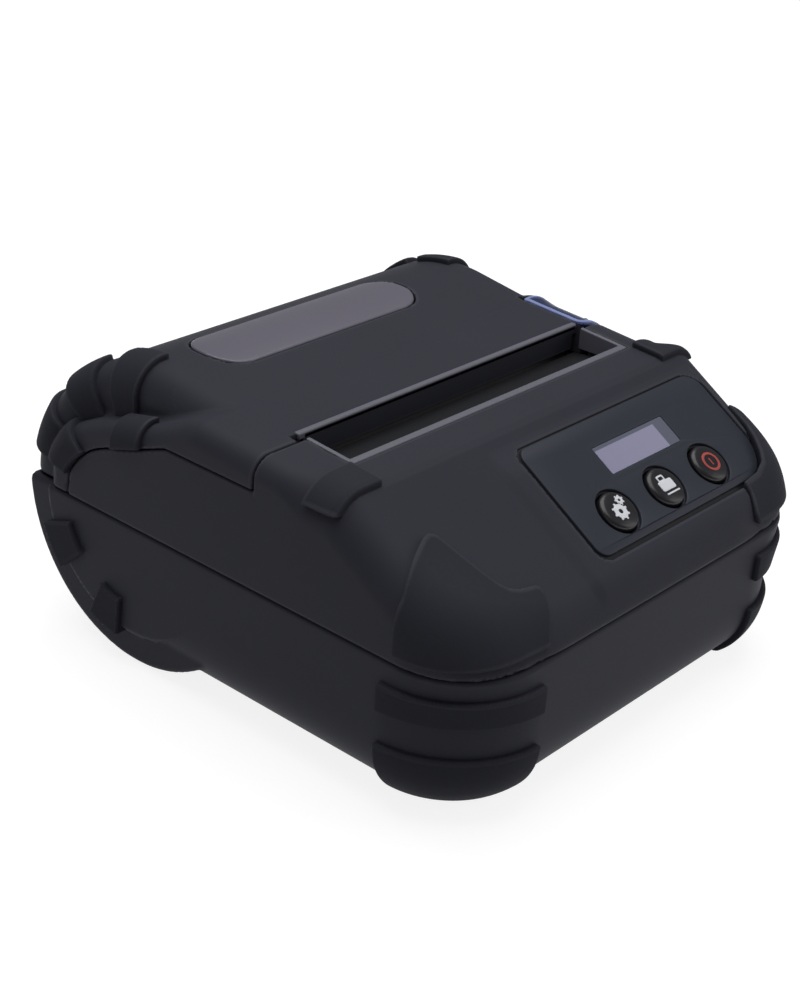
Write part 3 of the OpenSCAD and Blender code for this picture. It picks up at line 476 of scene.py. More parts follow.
cover_skin = mesh_from_field("paper_cover_skin", paper_cover, (-54, 51, 30), (54, 120, 60), 0.55)

# %% [markdown]
# ## The lower case
# The lower case is the tub that the hand holds. At its right side it is open for the battery, and has
# a floor with holes for the power and data sockets. Bosses in the base hold the screws. Its forms are
# calm, so a coarser grid is enough, and the rounder edge at its rim makes the joint's dark groove.

# %% Lower case
CASE_KNUCKLES = [(-34, -20), (-7, 7), (20, 34)]
SCREW_HOLES = [(-42.5, 12.5, 2.5), (42.5, 12.5, 2.5), (-45.5, 62, 2.5), (45.5, 62, 2.5),
               (-20, 68, 2.3), (20, 68, 2.3)]


def lower_case(x, y, z):
    shape = skin(lower_body(x, y, z), WALL)
    shape = cut(shape, z - JOINT + 0.12, 0.75 + 0.9 * ease(y, 104, 110))
    battery = block(x, y, z, (40, 20.6, 3), (60, 50.8, 21))
    port = block(x, y, z, (52.3, 65.6, 13), (60, 84.6, 23))
    shape = np.maximum(np.maximum(shape, -battery), -port)
    floor = block(x, y, z, (50.3, 65, 12.4), (52.4, 85, 23.6))
    jack = rod(y, z, (70.6, 18.4), 3.9)
    usb = block(0, y, z, (-1, 74.6, 16.6), (1, 83.6, 20.2), 0.8)
    shape = np.minimum(shape, np.maximum(floor, -np.minimum(jack, usb)))
    body = lower_body(x, y, z)
    for cx, cy, r in SCREW_HOLES:
        boss = np.maximum(rod(x, y, (cx, cy), r + 1.1), slab(z, 1.5, 8.5))
        shape = np.minimum(shape, np.maximum(boss, body + 0.3))
        shape = np.maximum(shape, -np.maximum(rod(x, y, (cx, cy), r), z - 5))
    return np.minimum(shape, knuckles(x, y, z, CASE_KNUCKLES, 28.3, 30.2))


lower_skin = mesh_from_field("lower_case_skin", lower_case, (-54, -0.1, 0), (54, 120, 31), 0.75)

# %% [markdown]
# ## Screws in the base
# Four small steel screws hold the halves together. Their heads lie deep in the bosses and have a cross
# recess. All four are alike, so one is made and its mesh is copied to the four places.

# %% Case screws
def screw(x, y, z):
    head = cut(rod(x, y, (0, 0), 2.2), slab(z, 4.6, 6.3), 0.35)
    across = np.maximum(np.abs(x) - 0.35, np.abs(y) - 1.5)
    along = np.maximum(np.abs(y) - 0.35, np.abs(x) - 1.5)
    head = np.maximum(head, -np.maximum(np.minimum(across, along), z - 5.6))
    return np.minimum(head, np.maximum(rod(x, y, (0, 0), 1.3), slab(z, 6, 20)))


one_screw = mesh_from_field("case_screw", screw, (-2.3, -2.3, 4.5), (2.3, 2.3, 20.2), 0.24)
one_screw.data.transform(Matrix.Translation((0, MIDDLE_Y * MM, 0)))
screws = bmesh.new()
for cx, cy, r in SCREW_HOLES[:4]:
    before = set(screws.verts)
    screws.from_mesh(one_screw.data)
    fresh = [v for v in screws.verts if v not in before]
    bmesh.ops.translate(screws, verts=fresh, vec=(cx * MM, (cy - MIDDLE_Y) * MM, 0))
screws.to_mesh(one_screw.data)
screws.free()
one_screw.data.shade_smooth()
one_screw.data.set_sharp_from_angle(angle=math.radians(40))

# %% [markdown]
# ## Rubber guards, bands and ribs
# The real guards are a soft rubber moulded over the hard case, 1.2 mm proud of it, with round edges.
# Since the case is a field, a guard is simply the same field grown by 1.2 mm and cut to the guard's
# outline. At the corners, where the printer lands when it is dropped, the horn shaped guards are
# thicker: there the growth rises smoothly to more than 2 mm.

# %% Horn shaped front guards
HORN = [(60, 16.8), (53, 16.8), (45.5, 20.3), (43.4, 21.2), (42, 21.5), (40.9, 21.2), (40.2, 20.4),
        (39.8, 19.4), (39.2, 17.6), (37.6, 12.9), (36.3, 10), (35, 8.6), (33.2, 7.9), (31, 7.5),
        (29.3, 7.3), (28.6, 6.7), (28.6, 5.6), (29.5, 3.9), (31, 2.1), (32.5, 0.7), (33.4, -1), (34, -5),
        (60, -5)]


def horn(x, y, z, points):
    far = np.sqrt(((np.abs(x) - 46.5) / 9) ** 2 + ((y - 6.5) / 9) ** 2 + ((z - 40) / 9) ** 2)
    body = upper_body(x, y, z)
    shape = cut(body - PROUD - 1.1 * np.exp(-far * far), outline(points, np.abs(x), y), 0.45)
    shape = cut(shape, JOINT + 2.4 - z, 0.5)
    return np.maximum(shape, -body - 1.2)


def horn_left(x, y, z):
    return np.maximum(horn(x, y, z, HORN), x)


def horn_right(x, y, z):
    short = [(60, 16.8), (53, 16.8), (47.8, 19), (33.6, 19), (33.6, -5), (60, -5)]
    shape = np.maximum(horn(x, y, z, short), -x)
    return cut(shape, -outline(PLATEAU, x, y), 0.4)


guard_left = mesh_from_field("guard_left_rubber", horn_left, (-57, -2, 31), (-28, 23, 53), 0.36)
guard_right = mesh_from_field("guard_right_rubber", horn_right, (28, -2, 31), (57, 23, 53), 0.36)

# %% [markdown]
# ## Flat bands
# Two flat bands wrap each lower front corner, and a short one wraps each edge of the deck beside the
# paper slot. The left and right ones mirror each other, so one helper makes both.

# %% Bands at the corners and the deck
def both_sides(name, field, low, high, cell):
    """The same piece at the right, with x from low to high, and mirrored at the left."""
    made = {}
    for word, side in (("left", -1), ("right", 1)):
        near, far = sorted((side * low[0], side * high[0]))
        made[word] = mesh_from_field(f"{name}_{word}_rubber", lambda x, y, z: field(x, y, z, side),
                                     (near, *low[1:]), (far, *high[1:]), cell)
    return made


def corner_bands(x, y, z, side):
    body = lower_body(x, y, z)
    shape = cut(body - PROUD, np.minimum(slab(z, 20.5, 26.2), slab(z, 1.6, 14)), 0.5)
    shape = cut(cut(shape, y - 19.9, 0.5), 33.8 - side * x, 0.5)
    return np.maximum(shape, -body - 1.0)


def top_band(x, y, z, side):
    body = upper_body(x, y, z)
    shape = cut(body - PROUD, slab(y, DECK_Y - 0.3, DECK_Y + 7.4), 0.4)
    shape = cut(cut(shape, 42 - side * x, 0.4), 52 - z, 0.4)
    return np.maximum(shape, -body - 1.0)


bands = both_sides("corner_bands", corner_bands, (33, -2, 1), (56, 20.5, 27), 0.36)
deck_bands = both_sides("top_band", top_band, (41, 31, 51), (56, 41, 58), 0.3)

# %% [markdown]
# ## Ribs at the back
# Like knuckles, three ribs lie over each end of the drum, two on each shoulder and two on each cheek of
# the lower case. Angles round the drum's axis place them. They lie 1.2 mm proud, as the bands do, and
# follow whatever form is below them, because they are made from that form's own field.

# %% Ribs on the drum's ends and the shoulders
def spread(y, z, centre, low, high):
    """Between two angles round an axis, as a distance."""
    dy = y - centre[0]
    dz = z - centre[1]
    turned = np.degrees(np.arctan2(dz, dy))
    return slab(turned, low, high) * np.radians(1) * np.sqrt(dy * dy + dz * dz)


def cover_ribs(x, y, z, side):
    body = drum(x, y, z)
    shoulder = upper_body(x, y, z)
    reach = side * x
    front = np.maximum(spread(y, z, LID, 70, 87.5), 40.3 - reach)
    rear = np.minimum(spread(y, z, LID, 45, 60), spread(y, z, LID, 12, 33))
    where = np.minimum(front, np.maximum(rear, 42.3 - reach))
    on_drum = np.maximum(cut(body - PROUD, where, 0.35), -body - 1.0)
    on_drum = np.maximum(on_drum, -shoulder - 1.5)
    where = np.minimum(slab(y, 79.7, 87.5), spread(y, z, AXIS, 13.5, 39.5))
    where = np.maximum(np.maximum(where, 49.5 - reach), 0.3 - outline(ARM_VIEW, y, z))
    on_shoulder = np.maximum(cut(shoulder - PROUD, where, 0.4), -shoulder - 1.0)
    return np.minimum(on_drum, on_shoulder)


def case_ribs(x, y, z, side):
    body = lower_body(x, y, z)
    where = np.minimum(spread(y, z, AXIS, -42, -20), spread(y, z, AXIS, -85, -66))
    where = np.maximum(where, 17 - np.sqrt((y - AXIS[0]) ** 2 + (z - AXIS[1]) ** 2))
    disc = np.maximum(rod(y, z, AXIS, CHEEK + PROUD), side * x - HALF - PROUD)
    return np.maximum(cut(cut(disc, where, 0.4), 50.5 - side * x, 0.4), -body - 1.0)


lid_ribs = both_sides("cover_ribs", cover_ribs, (40, 78, 34), (56, 118, 62), 0.36)
rear_ribs = both_sides("rear_ribs", case_ribs, (49, 78, 4), (56, 112, 31), 0.36)

# %% [markdown]
# ## The paper slot's trim
# Round the slot lies a satin grey strip, on the case at three sides and on the cover at the fourth. It
# stands a tenth of a millimetre above its surroundings, enough to catch the light as a thin line, and
# its grey is painted paler than the strip is, as a painted highlight along that line.

# %% Trim of the slot
def slot_trim(x, y, z):
    ring = cut(slab(x, -SLOT_X, SLOT_X), 39.8 - y, 0.3)
    inner = np.maximum(slab(x, 1 - SLOT_X, SLOT_X - 1), 41.4 - y)
    shape = cut(np.maximum(ring, -inner), upper_body(x, y, z) - 0.06, 0.25)
    return np.maximum(np.maximum(shape, 51.8 - z), y - COVER_Y)


def lid_trim(x, y, z):
    shape = cut(slab(y, SLOT_BACK, SLOT_BACK + 1.35), upper_body(x, y, z) - 0.12, 0.35)
    return cut(np.maximum(shape, 55.2 - z), np.abs(x) - SLOT_X, 0.2)


trim = mesh_from_field("slot_frame_trim", slot_trim, (-42, 39.4, 51.4), (42, 51.6, 57), 0.28)
edge_bar = mesh_from_field("cover_edge_trim", lid_trim, (-42, 52.4, 55), (42, 54.2, 57), 0.25)

# %% [markdown]
# ## The window
# Through the window one sees how much paper is left. It is a smoked sheet bent to the drum, so it is
# cut from the same barrel, a little proud of it, with a shadow gap all round.

# %% Window
def window(x, y, z):
    top = rod(y, z, LID, LID_R + 0.12)
    sheet = cut(window_outline(x, y) + 0.3, top, 0.3)
    return np.maximum(np.maximum(sheet, -top - 2.0), 40 - z)


glass = mesh_from_field("cover_window_sheet", window, (-34.5, 77, 53), (24, 94, 60.5), 0.4)

# %% [markdown]
# ## The lever
# The blue lever opens the cover. Its body lies level with the shoulder, and a paler rim on it gives the
# finger a hold; the rim is light blue plastic, painted paler still as a highlight where its edge catches
# the light. Both follow the same plan, so they are drawn from one outline.

# %% Lever
def lever_plan(x, y):
    return cut(LEVER_X - x, slab(y, LEVER_FRONT, LEVER_END), 2.2)


def lever(x, y, z):
    shape = cut(lever_plan(x, y), upper_body(x, y, z) + 0.1, 0.6)
    return cut(shape, 52 - z, 0.4)


def lever_rim(x, y, z):
    edge = lever_plan(x, y)
    ring = cut(edge + 0.05, -edge - 1.15, 0.25)
    body = upper_body(x, y, z)
    shape = cut(cut(ring, body - 0.15, 0.25), x - 50.5, 0.3)
    return np.maximum(shape, -body - 0.6)


lever_body = mesh_from_field("release_lever_body", lever, (41.8, 51.8, 51.6), (54, 69, 57.6), 0.28)
lever_edge = mesh_from_field("release_lever_rim", lever_rim, (41.8, 51.8, 51.6), (54, 69, 58), 0.25)
pin_x = [42.6, 48.6]
circle = [(math.cos(a), math.sin(a)) for a in [i * math.pi / 12 for i in range(24)]]
pin_points = [(px, 55.7 + 0.9 * c, 54 + 0.9 * s) for px in pin_x for c, s in circle]
pin_faces = [(i, i + 24, (i + 1) % 24 + 24, (i + 1) % 24) for i in range(24)]
pin_faces += [tuple(range(24)), tuple(range(47, 23, -1))]
lever_axle = piece("lever_axle", pin_points, pin_faces)

# %% [markdown]
# ## The control panel
# The panel is a printed film on a plate, set into the slope with a dark shadow gap. Flat pieces such
# as this and the icons are drawn as outlines with holes, filled, and raised with a small bevel, since
# it is the bevel that catches the light and makes a cut edge look real.


# %% Flat pieces on the slope
def on_plate(u, s, h):
    """A place on the slope from its width, its distance up the slope and its height above it."""
    return (u, s * math.cos(SLOPE) - h * math.sin(SLOPE), SLOPE_Z + s * math.sin(SLOPE) + h * math.cos(SLOPE))


def inset(loop, amount):
    """The same closed loop, moved to its left by the given amount."""
    p = np.array(loop)
    ahead = np.roll(p, -1, 0) - p
    ahead /= np.linalg.norm(ahead, axis=1)[:, None]
    behind = np.roll(ahead, 1, 0)
    mid = ahead + behind
    length = np.maximum((mid * mid).sum(1), 0.5)[:, None]
    return p + np.stack((-mid[:, 1], mid[:, 0]), 1) * 2 * amount / length


def plate(name, parts, low, high, bevel):
    """A raised plate: each part is an outer loop to the left, then its holes to the right."""
    points = []
    faces = []
    for loops in parts:
        rings = [(low, 0.0), (high - bevel, 0.0), (high - 0.3 * bevel, 0.3 * bevel), (high, bevel)]
        starts = []
        for height, back_by in rings:
            starts.append(len(points))
            for loop in loops:
                points += [on_plate(u, s, height) for u, s in inset(loop, back_by)]
        place = 0
        for loop in loops:
            n = len(loop)
            for lower, upper in zip(starts, starts[1:]):
                faces += [(lower + place + i, lower + place + (i + 1) % n,
                           upper + place + (i + 1) % n, upper + place + i) for i in range(n)]
            place += n
        flat = [[Vector((u, s, 0)) for u, s in loop] for loop in loops]
        for a, b, c in mathutils.geometry.tessellate_polygon(flat):
            faces.append((starts[-1] + a, starts[-1] + b, starts[-1] + c))
            faces.append((starts[0] + a, starts[0] + c, starts[0] + b))
    made = piece(name, points, faces)
    work = bmesh.new()
    work.from_mesh(made.data)
    bmesh.ops.recalc_face_normals(work, faces=work.faces)
    work.to_mesh(made.data)
    work.free()
    made.data.shade_smooth()
    made.data.set_sharp_from_angle(angle=math.radians(60))
    return made


def ring_of(centre, radius, count=48, clockwise=False):
    turns = [2 * math.pi * i / count for i in range(count)]
    loop = [(centre[0] + radius * math.cos(t), centre[1] + radius * math.sin(t)) for t in turns]
    return loop[::-1] if clockwise else loop


def rounded(u0, s0, u1, s1, radii, clockwise=False):
    """A box with round corners: the radii start at the lower left and run to the left turn."""
    corners = [(u0, s0, 1, 1, 180), (u1, s0, -1, 1, 270), (u1, s1, -1, -1, 0), (u0, s1, 1, -1, 90)]
    loop = []
    for (u, s, du, ds, first), r in zip(corners, radii):
        for k in range(9):
            t = math.radians(first + k * 11.25)
            loop.append((u + du * r + r * math.cos(t), s + ds * r + r * math.sin(t)))
    return loop[::-1] if clockwise else loop


# %% [markdown]
# ## The panel and its display
# The film has round holes for the buttons and an oblong one for the display, whose lens comes up
# through it. A black sheet lies round the film, deep in the gap: painted shade, so that the gap reads as a
# shadow.

# %% Panel with its display
holes = [ring_of(b, 4.95, 56, True) for b in BUTTONS]
holes.append(rounded(*DISPLAY, (0.3, 0.3, 0.3, 0.3), True))
film = plate("control_panel_film", [[rounded(-10.4, 7.5, 46.3, 32.7, (2.5, 8.5, 4.0, 2.5))] + holes],
             -0.35, 0.45, 0.18)
# A black sheet deep in the gap round the film: painted shade.
gap_shade = plate("panel_gap_shade_sheet", [[rounded(-11.35, 6.55, 46.6, 33.0, (3.2, 8.9, 4.2, 3.0)),
                                 rounded(-10.3, 7.6, 46.2, 32.6, (2.4, 8.4, 3.9, 2.4), True)]],
               -0.34, -0.05, 0.04)
glass_edge = (DISPLAY[0] + 0.05, DISPLAY[1] + 0.05, DISPLAY[2] - 0.05, DISPLAY[3] - 0.05)
display = plate("display_glass", [[rounded(*glass_edge, (0.3, 0.3, 0.3, 0.3))]], -2.1, 0.36, 0.1)

# %% [markdown]
# ## Buttons
# Each button is a turned dome with a round rim, free all round, so that it can be pressed into the
# panel. Such a form is easy to make from its listed profile: one ring of points for each step of it.

# %% Buttons
PROFILE = [(0, -2.6), (4.25, -2.6), (4.25, 0.25), (4.19, 0.5), (4.0, 0.75), (3.7, 0.93), (3.3, 1.02),
           (2.2, 1.12), (1.1, 1.17), (0, 1.18)]


def button(name, centre, count=64):
    points = [on_plate(centre[0], centre[1], PROFILE[0][1])]
    for radius, height in PROFILE[1:-1]:
        points += [on_plate(u, s, height) for u, s in ring_of(centre, radius, count)]
    points.append(on_plate(centre[0], centre[1], PROFILE[-1][1]))
    rows = len(PROFILE) - 2
    faces = [(0, 1 + (i + 1) % count, 1 + i) for i in range(count)]
    for row in range(rows - 1):
        a = 1 + row * count
        faces += [(a + i, a + (i + 1) % count, a + count + (i + 1) % count, a + count + i)
                  for i in range(count)]
    last = 1 + (rows - 1) * count
    faces += [(last + i, last + (i + 1) % count, len(points) - 1) for i in range(count)]
    made = piece(name, points, faces)
    made.data.shade_smooth()
    made.data.set_sharp_from_angle(angle=math.radians(50))
    return made


settings_key, feed_key, power_key = [button(n, c) for n, c in
                                     zip(("settings_key", "feed_key", "power_key"), BUTTONS)]


# %% [markdown]
# ## Signs on the buttons
# The signs are printed on the real buttons. Here they stand up by a few hundredths of a millimetre, so
# that they stay crisp from close by: two gears for the settings, a sheet over a line for the paper feed,
# and a ring with a bar for the power.

# %% Signs
def gear_loop(centre, radius, teeth, depth):
    loop = []
    for i in range(teeth):
        for part, r in ((0.0, radius - depth), (0.14, radius), (0.36, radius), (0.5, radius - depth),
                        (0.75, radius - depth)):
            t = 2 * math.pi * (i + part) / teeth
            loop.append((centre[0] + r * math.cos(t), centre[1] + r * math.sin(t)))
    return loop


def at_button(number, u, s):
    return (BUTTONS[number][0] + u, BUTTONS[number][1] + s)


big = at_button(0, -0.45, -0.45)
small = at_button(0, 1.15, 1.6)
INK = (0.9, 1.24, 0.03)
settings_sign = plate("settings_sign", [
    [gear_loop(big, 1.95, 8, 0.4), ring_of(big, 0.5, 20, True)],
    [gear_loop(small, 1.15, 7, 0.27), ring_of(small, 0.32, 16, True)]], *INK)
sheet = [rounded(*at_button(1, -2.1, -1.15), *at_button(1, 1.9, 1.05), (0.4, 0.4, 0.4, 0.4))]
tab = [rounded(*at_button(1, -1.5, 1.0), *at_button(1, 0.45, 2.3), (0.05, 0.05, 0.35, 0.35)),
       rounded(*at_button(1, -1.15, 1.25), *at_button(1, 0.1, 1.95), (0.05, 0.05, 0.2, 0.2), True)]
line = [rounded(*at_button(1, -1.8, -2.0), *at_button(1, 2.1, -1.65), (0.1, 0.1, 0.1, 0.1))]
feed_sign = plate("feed_sign", [sheet, tab, line], *INK)
hub = BUTTONS[2]
bar = [rounded(*at_button(2, -0.16, -0.8), *at_button(2, 0.16, 0.8), (0.1, 0.1, 0.1, 0.1))]
power_sign = plate("power_sign", [[ring_of(hub, 2.15), ring_of(hub, 1.6, 48, True)], bar], *INK)

# %% [markdown]
# ## Pieces that repeat
# Teeth and coils follow a rule, so Geometry Nodes make them: a line of points, one small shape copied
# to each, and everything made real at the end. The number, the step and the material are inputs with
# names. Each result is kept as a plain mesh, so nothing is computed again later.


# %% Node helpers
def add(owner, kind, settings=None, values=None, links=None):
    """Adds one node with its settings, socket values and incoming links."""
    tree = getattr(owner, "node_tree", None) or owner
    made = tree.nodes.new(kind)
    for key, value in (settings or {}).items():
        setattr(made, key, value)
    for key, value in (values or {}).items():
        made.inputs[key].default_value = value
    for key, value in (links or {}).items():
        tree.links.new(value, made.inputs[key])
    return made


def start_tree(name, inputs):
    tree = bpy.data.node_groups.new(name, "GeometryNodeTree")
    tree.interface.new_socket("Geometry", in_out="OUTPUT", socket_type="NodeSocketGeometry")
    for label, kind in inputs.items():
        tree.interface.new_socket(label, in_out="INPUT", socket_type="NodeSocket" + kind)
    return tree, add(tree, "NodeGroupInput").outputs


def end_tree(tree, shape, material):
    real = add(tree, "GeometryNodeRealizeInstances", links={"Geometry": shape})
    done = add(tree, "GeometryNodeSetMaterial", links={"Geometry": real.outputs[0], "Material": material})
    add(tree, "NodeGroupOutput", links={"Geometry": done.outputs[0]})


def grow(name, tree, values):
    """Runs the tree with its inputs set, and keeps the result as a plain mesh."""
    thing = bpy.data.objects.new(name, bpy.data.meshes.new(name))
    bpy.context.scene.collection.objects.link(thing)
    nodes = thing.modifiers.new("rule", "NODES")
    nodes.node_group = tree
    for socket in tree.interface.items_tree:
        if socket.in_out == "INPUT":
            nodes[socket.identifier] = values[socket.name]
    evaluated = thing.evaluated_get(bpy.context.evaluated_depsgraph_get())
    mesh = bpy.data.meshes.new_from_object(evaluated)
    thing.modifiers.remove(nodes)
    thing.data = mesh
    print(name, len(mesh.vertices), "points", len(mesh.polygons), "faces")
    return thing


def at(x, y, z):
    return (x * MM, (y - MIDDLE_Y) * MM, z * MM)


# %% [markdown]
# ## Finishes
# Each material below is one real material with one way of making it. A single helper adds a shader
# node with its settings and links, and another turns the sRGB colours, as one reads them from a
# paint chip, into the linear values that Blender computes with.


# %% Material helpers
def linear(code):
    rgb = [int(code[i:i + 2], 16) / 255 for i in (1, 3, 5)]
    return tuple(c / 12.92 if c < 0.04045 else ((c + 0.055) / 1.055) ** 2.4 for c in rgb) + (1.0,)


def per_mm(size):
    """The scale that makes a noise or wave pattern repeat about every so many millimetres."""
    return 1000 / size


PATCH = 26
# The pale grey of the painted highlight on outer edges.
EDGE_HIGHLIGHT_GREY = "#8a8b94"


def moulded(name, colour, rough, grain=0.35, bump=0.02, tint=0.08, coat=0.0, metal=0.0, gloss=0.5, edge_highlight=0.0):
    """A surface that takes its texture from its mould: a fine grain over a slow change of tone."""
    made = bpy.data.materials.new(name)
    made.use_nodes = True
    made.node_tree.nodes.clear()
    where = add(made, "ShaderNodeTexCoord").outputs["Object"]
    slow = add(made, "ShaderNodeTexNoise", values={"Scale": per_mm(PATCH), "Detail": 3.0},
               links={"Vector": where})
    fine = add(made, "ShaderNodeTexNoise", values={"Scale": per_mm(grain), "Detail": 2.0},
               links={"Vector": where})
    tone = add(made, "ShaderNodeMapRange", values={"To Min": 1 - tint, "To Max": 1 + tint},
               links={"Value": slow.outputs["Fac"]})
    base = add(made, "ShaderNodeMix", {"data_type": "RGBA", "blend_type": "MULTIPLY"},
               {"Factor": 1.0, "A": linear(colour)}, {"B": tone.outputs["Result"]})
    # Outer edges are mixed towards a pale grey: a painted highlight where edges catch the light.
    rim = add(made, "ShaderNodeAttribute", {"attribute_name": "edge"})
    edge_light = add(made, "ShaderNodeMath", {"operation": "MULTIPLY"}, {1: edge_highlight}, {0: rim.outputs["Fac"]})
    tinted = add(made, "ShaderNodeMix", {"data_type": "RGBA"}, {"B": linear(EDGE_HIGHLIGHT_GREY)},
                 {"Factor": edge_light.outputs["Value"], "A": base.outputs["Result"]})
    sheen = add(made, "ShaderNodeMapRange", values={"To Min": rough - 0.05, "To Max": rough + 0.07},
                links={"Value": fine.outputs["Fac"]})
    height = add(made, "ShaderNodeBump", values={"Strength": 0.5, "Distance": bump * MM},
                 links={"Height": fine.outputs["Fac"]})
    shader = add(made, "ShaderNodeBsdfPrincipled",
                 values={"Metallic": metal, "Coat Weight": coat, "Specular IOR Level": gloss},
                 links={"Base Color": tinted.outputs["Result"], "Roughness": sheen.outputs["Result"],
                        "Normal": height.outputs["Normal"]})
    add(made, "ShaderNodeOutputMaterial", links={"Surface": shader.outputs["BSDF"]})
    return made


def wear(thing, material):
    thing.data.materials.clear()
    thing.data.materials.append(material)


# %% [markdown]
# ## The finishes
# Nearly everything that shows is black plastic or rubber, and the eye tells them apart by their sheen
# alone. So the colours below are close to each other, and the roughness, the grain and the strength of
# the reflection differ. The metals share their fine grain, and keep the default index of refraction.

# %% Materials of the whole printer
METAL = {"grain": 0.5, "bump": 0.01, "tint": 0.06, "metal": 1.0}
finish = {
    # Dry and finely grained, with a painted highlight that lightens its outer edges: light hardly glints on
    # it.
    "case_plastic": moulded("abs_black_fine_moulded", "#393a43", 0.6, 0.4, 0.03, gloss=0.14, edge_highlight=0.1),
    # Duller and a little darker than the case, so that it reads as rubber, with the same painted highlight on
    # its edges.
    "guard_rubber": moulded("tpe_rubber_dark_overmoulded", "#34353d", 0.75, 0.6, 0.05, gloss=0.12, edge_highlight=0.1),
    # Smoother and grey, painted paler still as a highlight: the line round the slot that catches the light.
    "strip_plastic": moulded("abs_grey_satin_painted_highlight", "#6f6f7b", 0.42, gloss=0.4),
    # Black plastic, painted darker than the case as shade, so that gaps and the slot look deep.
    "inner_plastic": moulded("abs_black_satin_painted_shade", "#1c1d22", 0.5, gloss=0.3),
    # Bluish black with an even satin sheen, like printed film.
    "panel_film": moulded("polyester_film_black_satin", "#373a45", 0.42, 0.8, 0.004, 0.04, gloss=0.25),
    # A pale field behind a clear, smooth lens.
    "lens": moulded("polycarbonate_display_lens", "#a3a1bd", 0.25, 6.0, 0.0, 0.02, 0.1, gloss=0.3),
    # Green solder mask with a mild gloss.
    "board": moulded("glass_epoxy_green_masked", "#1f5a38", 0.35, 1.2),
    # The dull black of moulded chips.
    "chips": moulded("epoxy_black_moulded", "#1a1b1e", 0.5),
    # Bright metal with the fine streaks of rolling.
    "steel": moulded("steel_bare_rolled", "#a9acb0", 0.32, **METAL),
    # Warm yellow metal, clean from the lathe.
    "brass": moulded("brass_turned", "#c3a05a", 0.28, **METAL),
    # Pale grey metal, a little softer in its shine than steel.
    "aluminium": moulded("aluminium_milled", "#b9bbbf", 0.35, **METAL),
    # Milky white and slightly waxy.
    "acetal": moulded("acetal_natural_moulded", "#d8d4c8", 0.4),
    # Near black and even, ground to size.
    "roller_rubber": moulded("silicone_rubber_ground", "#242528", 0.6),
    # Cream glaze with a sharp highlight.
    "ceramic": moulded("ceramic_glazed_print_head", "#c4bda8", 0.2, 0.8, 0.004, 0.05, 0.4),
    # Glossy black that shows a small clear highlight on the dome.
    "button": moulded("abs_black_gloss_button", "#1d1d22", 0.3, 1.0, 0.003, 0.05, 0.1),
    # Smoky grey satin, clearly paler than the plastic round it.
    "smoke_window": moulded("polycarbonate_smoked_window", "#6d6a77", 0.32, 1.0, 0.004, 0.05, 0.1, gloss=0.4),
    # Navy satin that stands out from the charcoal.
    "lever_blue": moulded("abs_navy_satin_lever", "#1b2a55", 0.35, 0.8, 0.006, 0.06, gloss=0.4),
    # Plain satin black, without the grain of the case.
    "battery_case": moulded("abs_black_battery_case", "#26272d", 0.5, gloss=0.3),
}
# The lever's rim is the palest blue, light blue plastic painted paler as a highlight, and the inks are flat,
# without any shine of their own.
rim_highlight_blue = moulded("abs_light_blue_rim_painted_highlight", "#8e9cd2", 0.4, 0.8, 0.006, 0.06, gloss=0.4)
white_ink = moulded("screen_ink_white", "#f2f4fa", 0.5, 0.8, 0.004, 0.04)
red_ink = moulded("screen_ink_red", "#bb4f4b", 0.45, 0.8, 0.004, 0.04)
slot_of = {part["node"]: part["material_slot"] for part in frame["record"]["subparts"]}
for node_name, thing in frame["nodes"].items():
    wear(thing, finish[slot_of[node_name]])
print(len(finish), "finishes on", len(slot_of), "nodes")

# %% [markdown]
# ## The display
# The display is a liquid crystal cell under a clear lens. Its lit field is a pale lilac, and along two
# sides a darker band is painted on it: painted shade, where the raised bezel shades the field.

# %% The display's painted bezel shade
BLUR = 0.04 * MM
lens = finish["lens"]
shader = next(n for n in lens.node_tree.nodes if n.type == "BSDF_PRINCIPLED")
field = shader.inputs["Base Color"].links[0].from_socket
where = add(lens, "ShaderNodeTexCoord").outputs["Object"]
up_slope = add(lens, "ShaderNodeVectorMath", {"operation": "DOT_PRODUCT"},
               {1: (0, math.cos(SLOPE), math.sin(SLOPE))}, {0: where})
top_s = (DISPLAY[3] - 0.85 - MIDDLE_Y * math.cos(SLOPE) + SLOPE_Z * math.sin(SLOPE)) * MM
top = add(lens, "ShaderNodeMapRange", values={"From Min": top_s - BLUR, "From Max": top_s + BLUR},
          links={"Value": up_slope.outputs["Value"]})
across = add(lens, "ShaderNodeSeparateXYZ", links={"Vector": where})
side_x = (DISPLAY[2] - 3.6) * MM
beside = add(lens, "ShaderNodeMapRange", values={"From Min": side_x - BLUR, "From Max": side_x + BLUR},
             links={"Value": across.outputs["X"]})
bezel_shade = add(lens, "ShaderNodeMath", {"operation": "MAXIMUM"},
             links={0: top.outputs["Result"], 1: beside.outputs["Result"]})
# The darker band along the top and the right side is painted shade from the bezel.
mixed = add(lens, "ShaderNodeMix", {"data_type": "RGBA"}, {"B": linear("#6b6f7f")},
            {"Factor": bezel_shade.outputs["Value"], "A": field})
lens.node_tree.links.new(mixed.outputs["Result"], shader.inputs["Base Color"])

# %% [markdown]
# ## The tear bar
# The paper is torn off against a strip of steel with small teeth, which lies inside the slot, behind
# the plain front strip. Each tooth is a four-sided point, turned and flattened to a sharp blade.

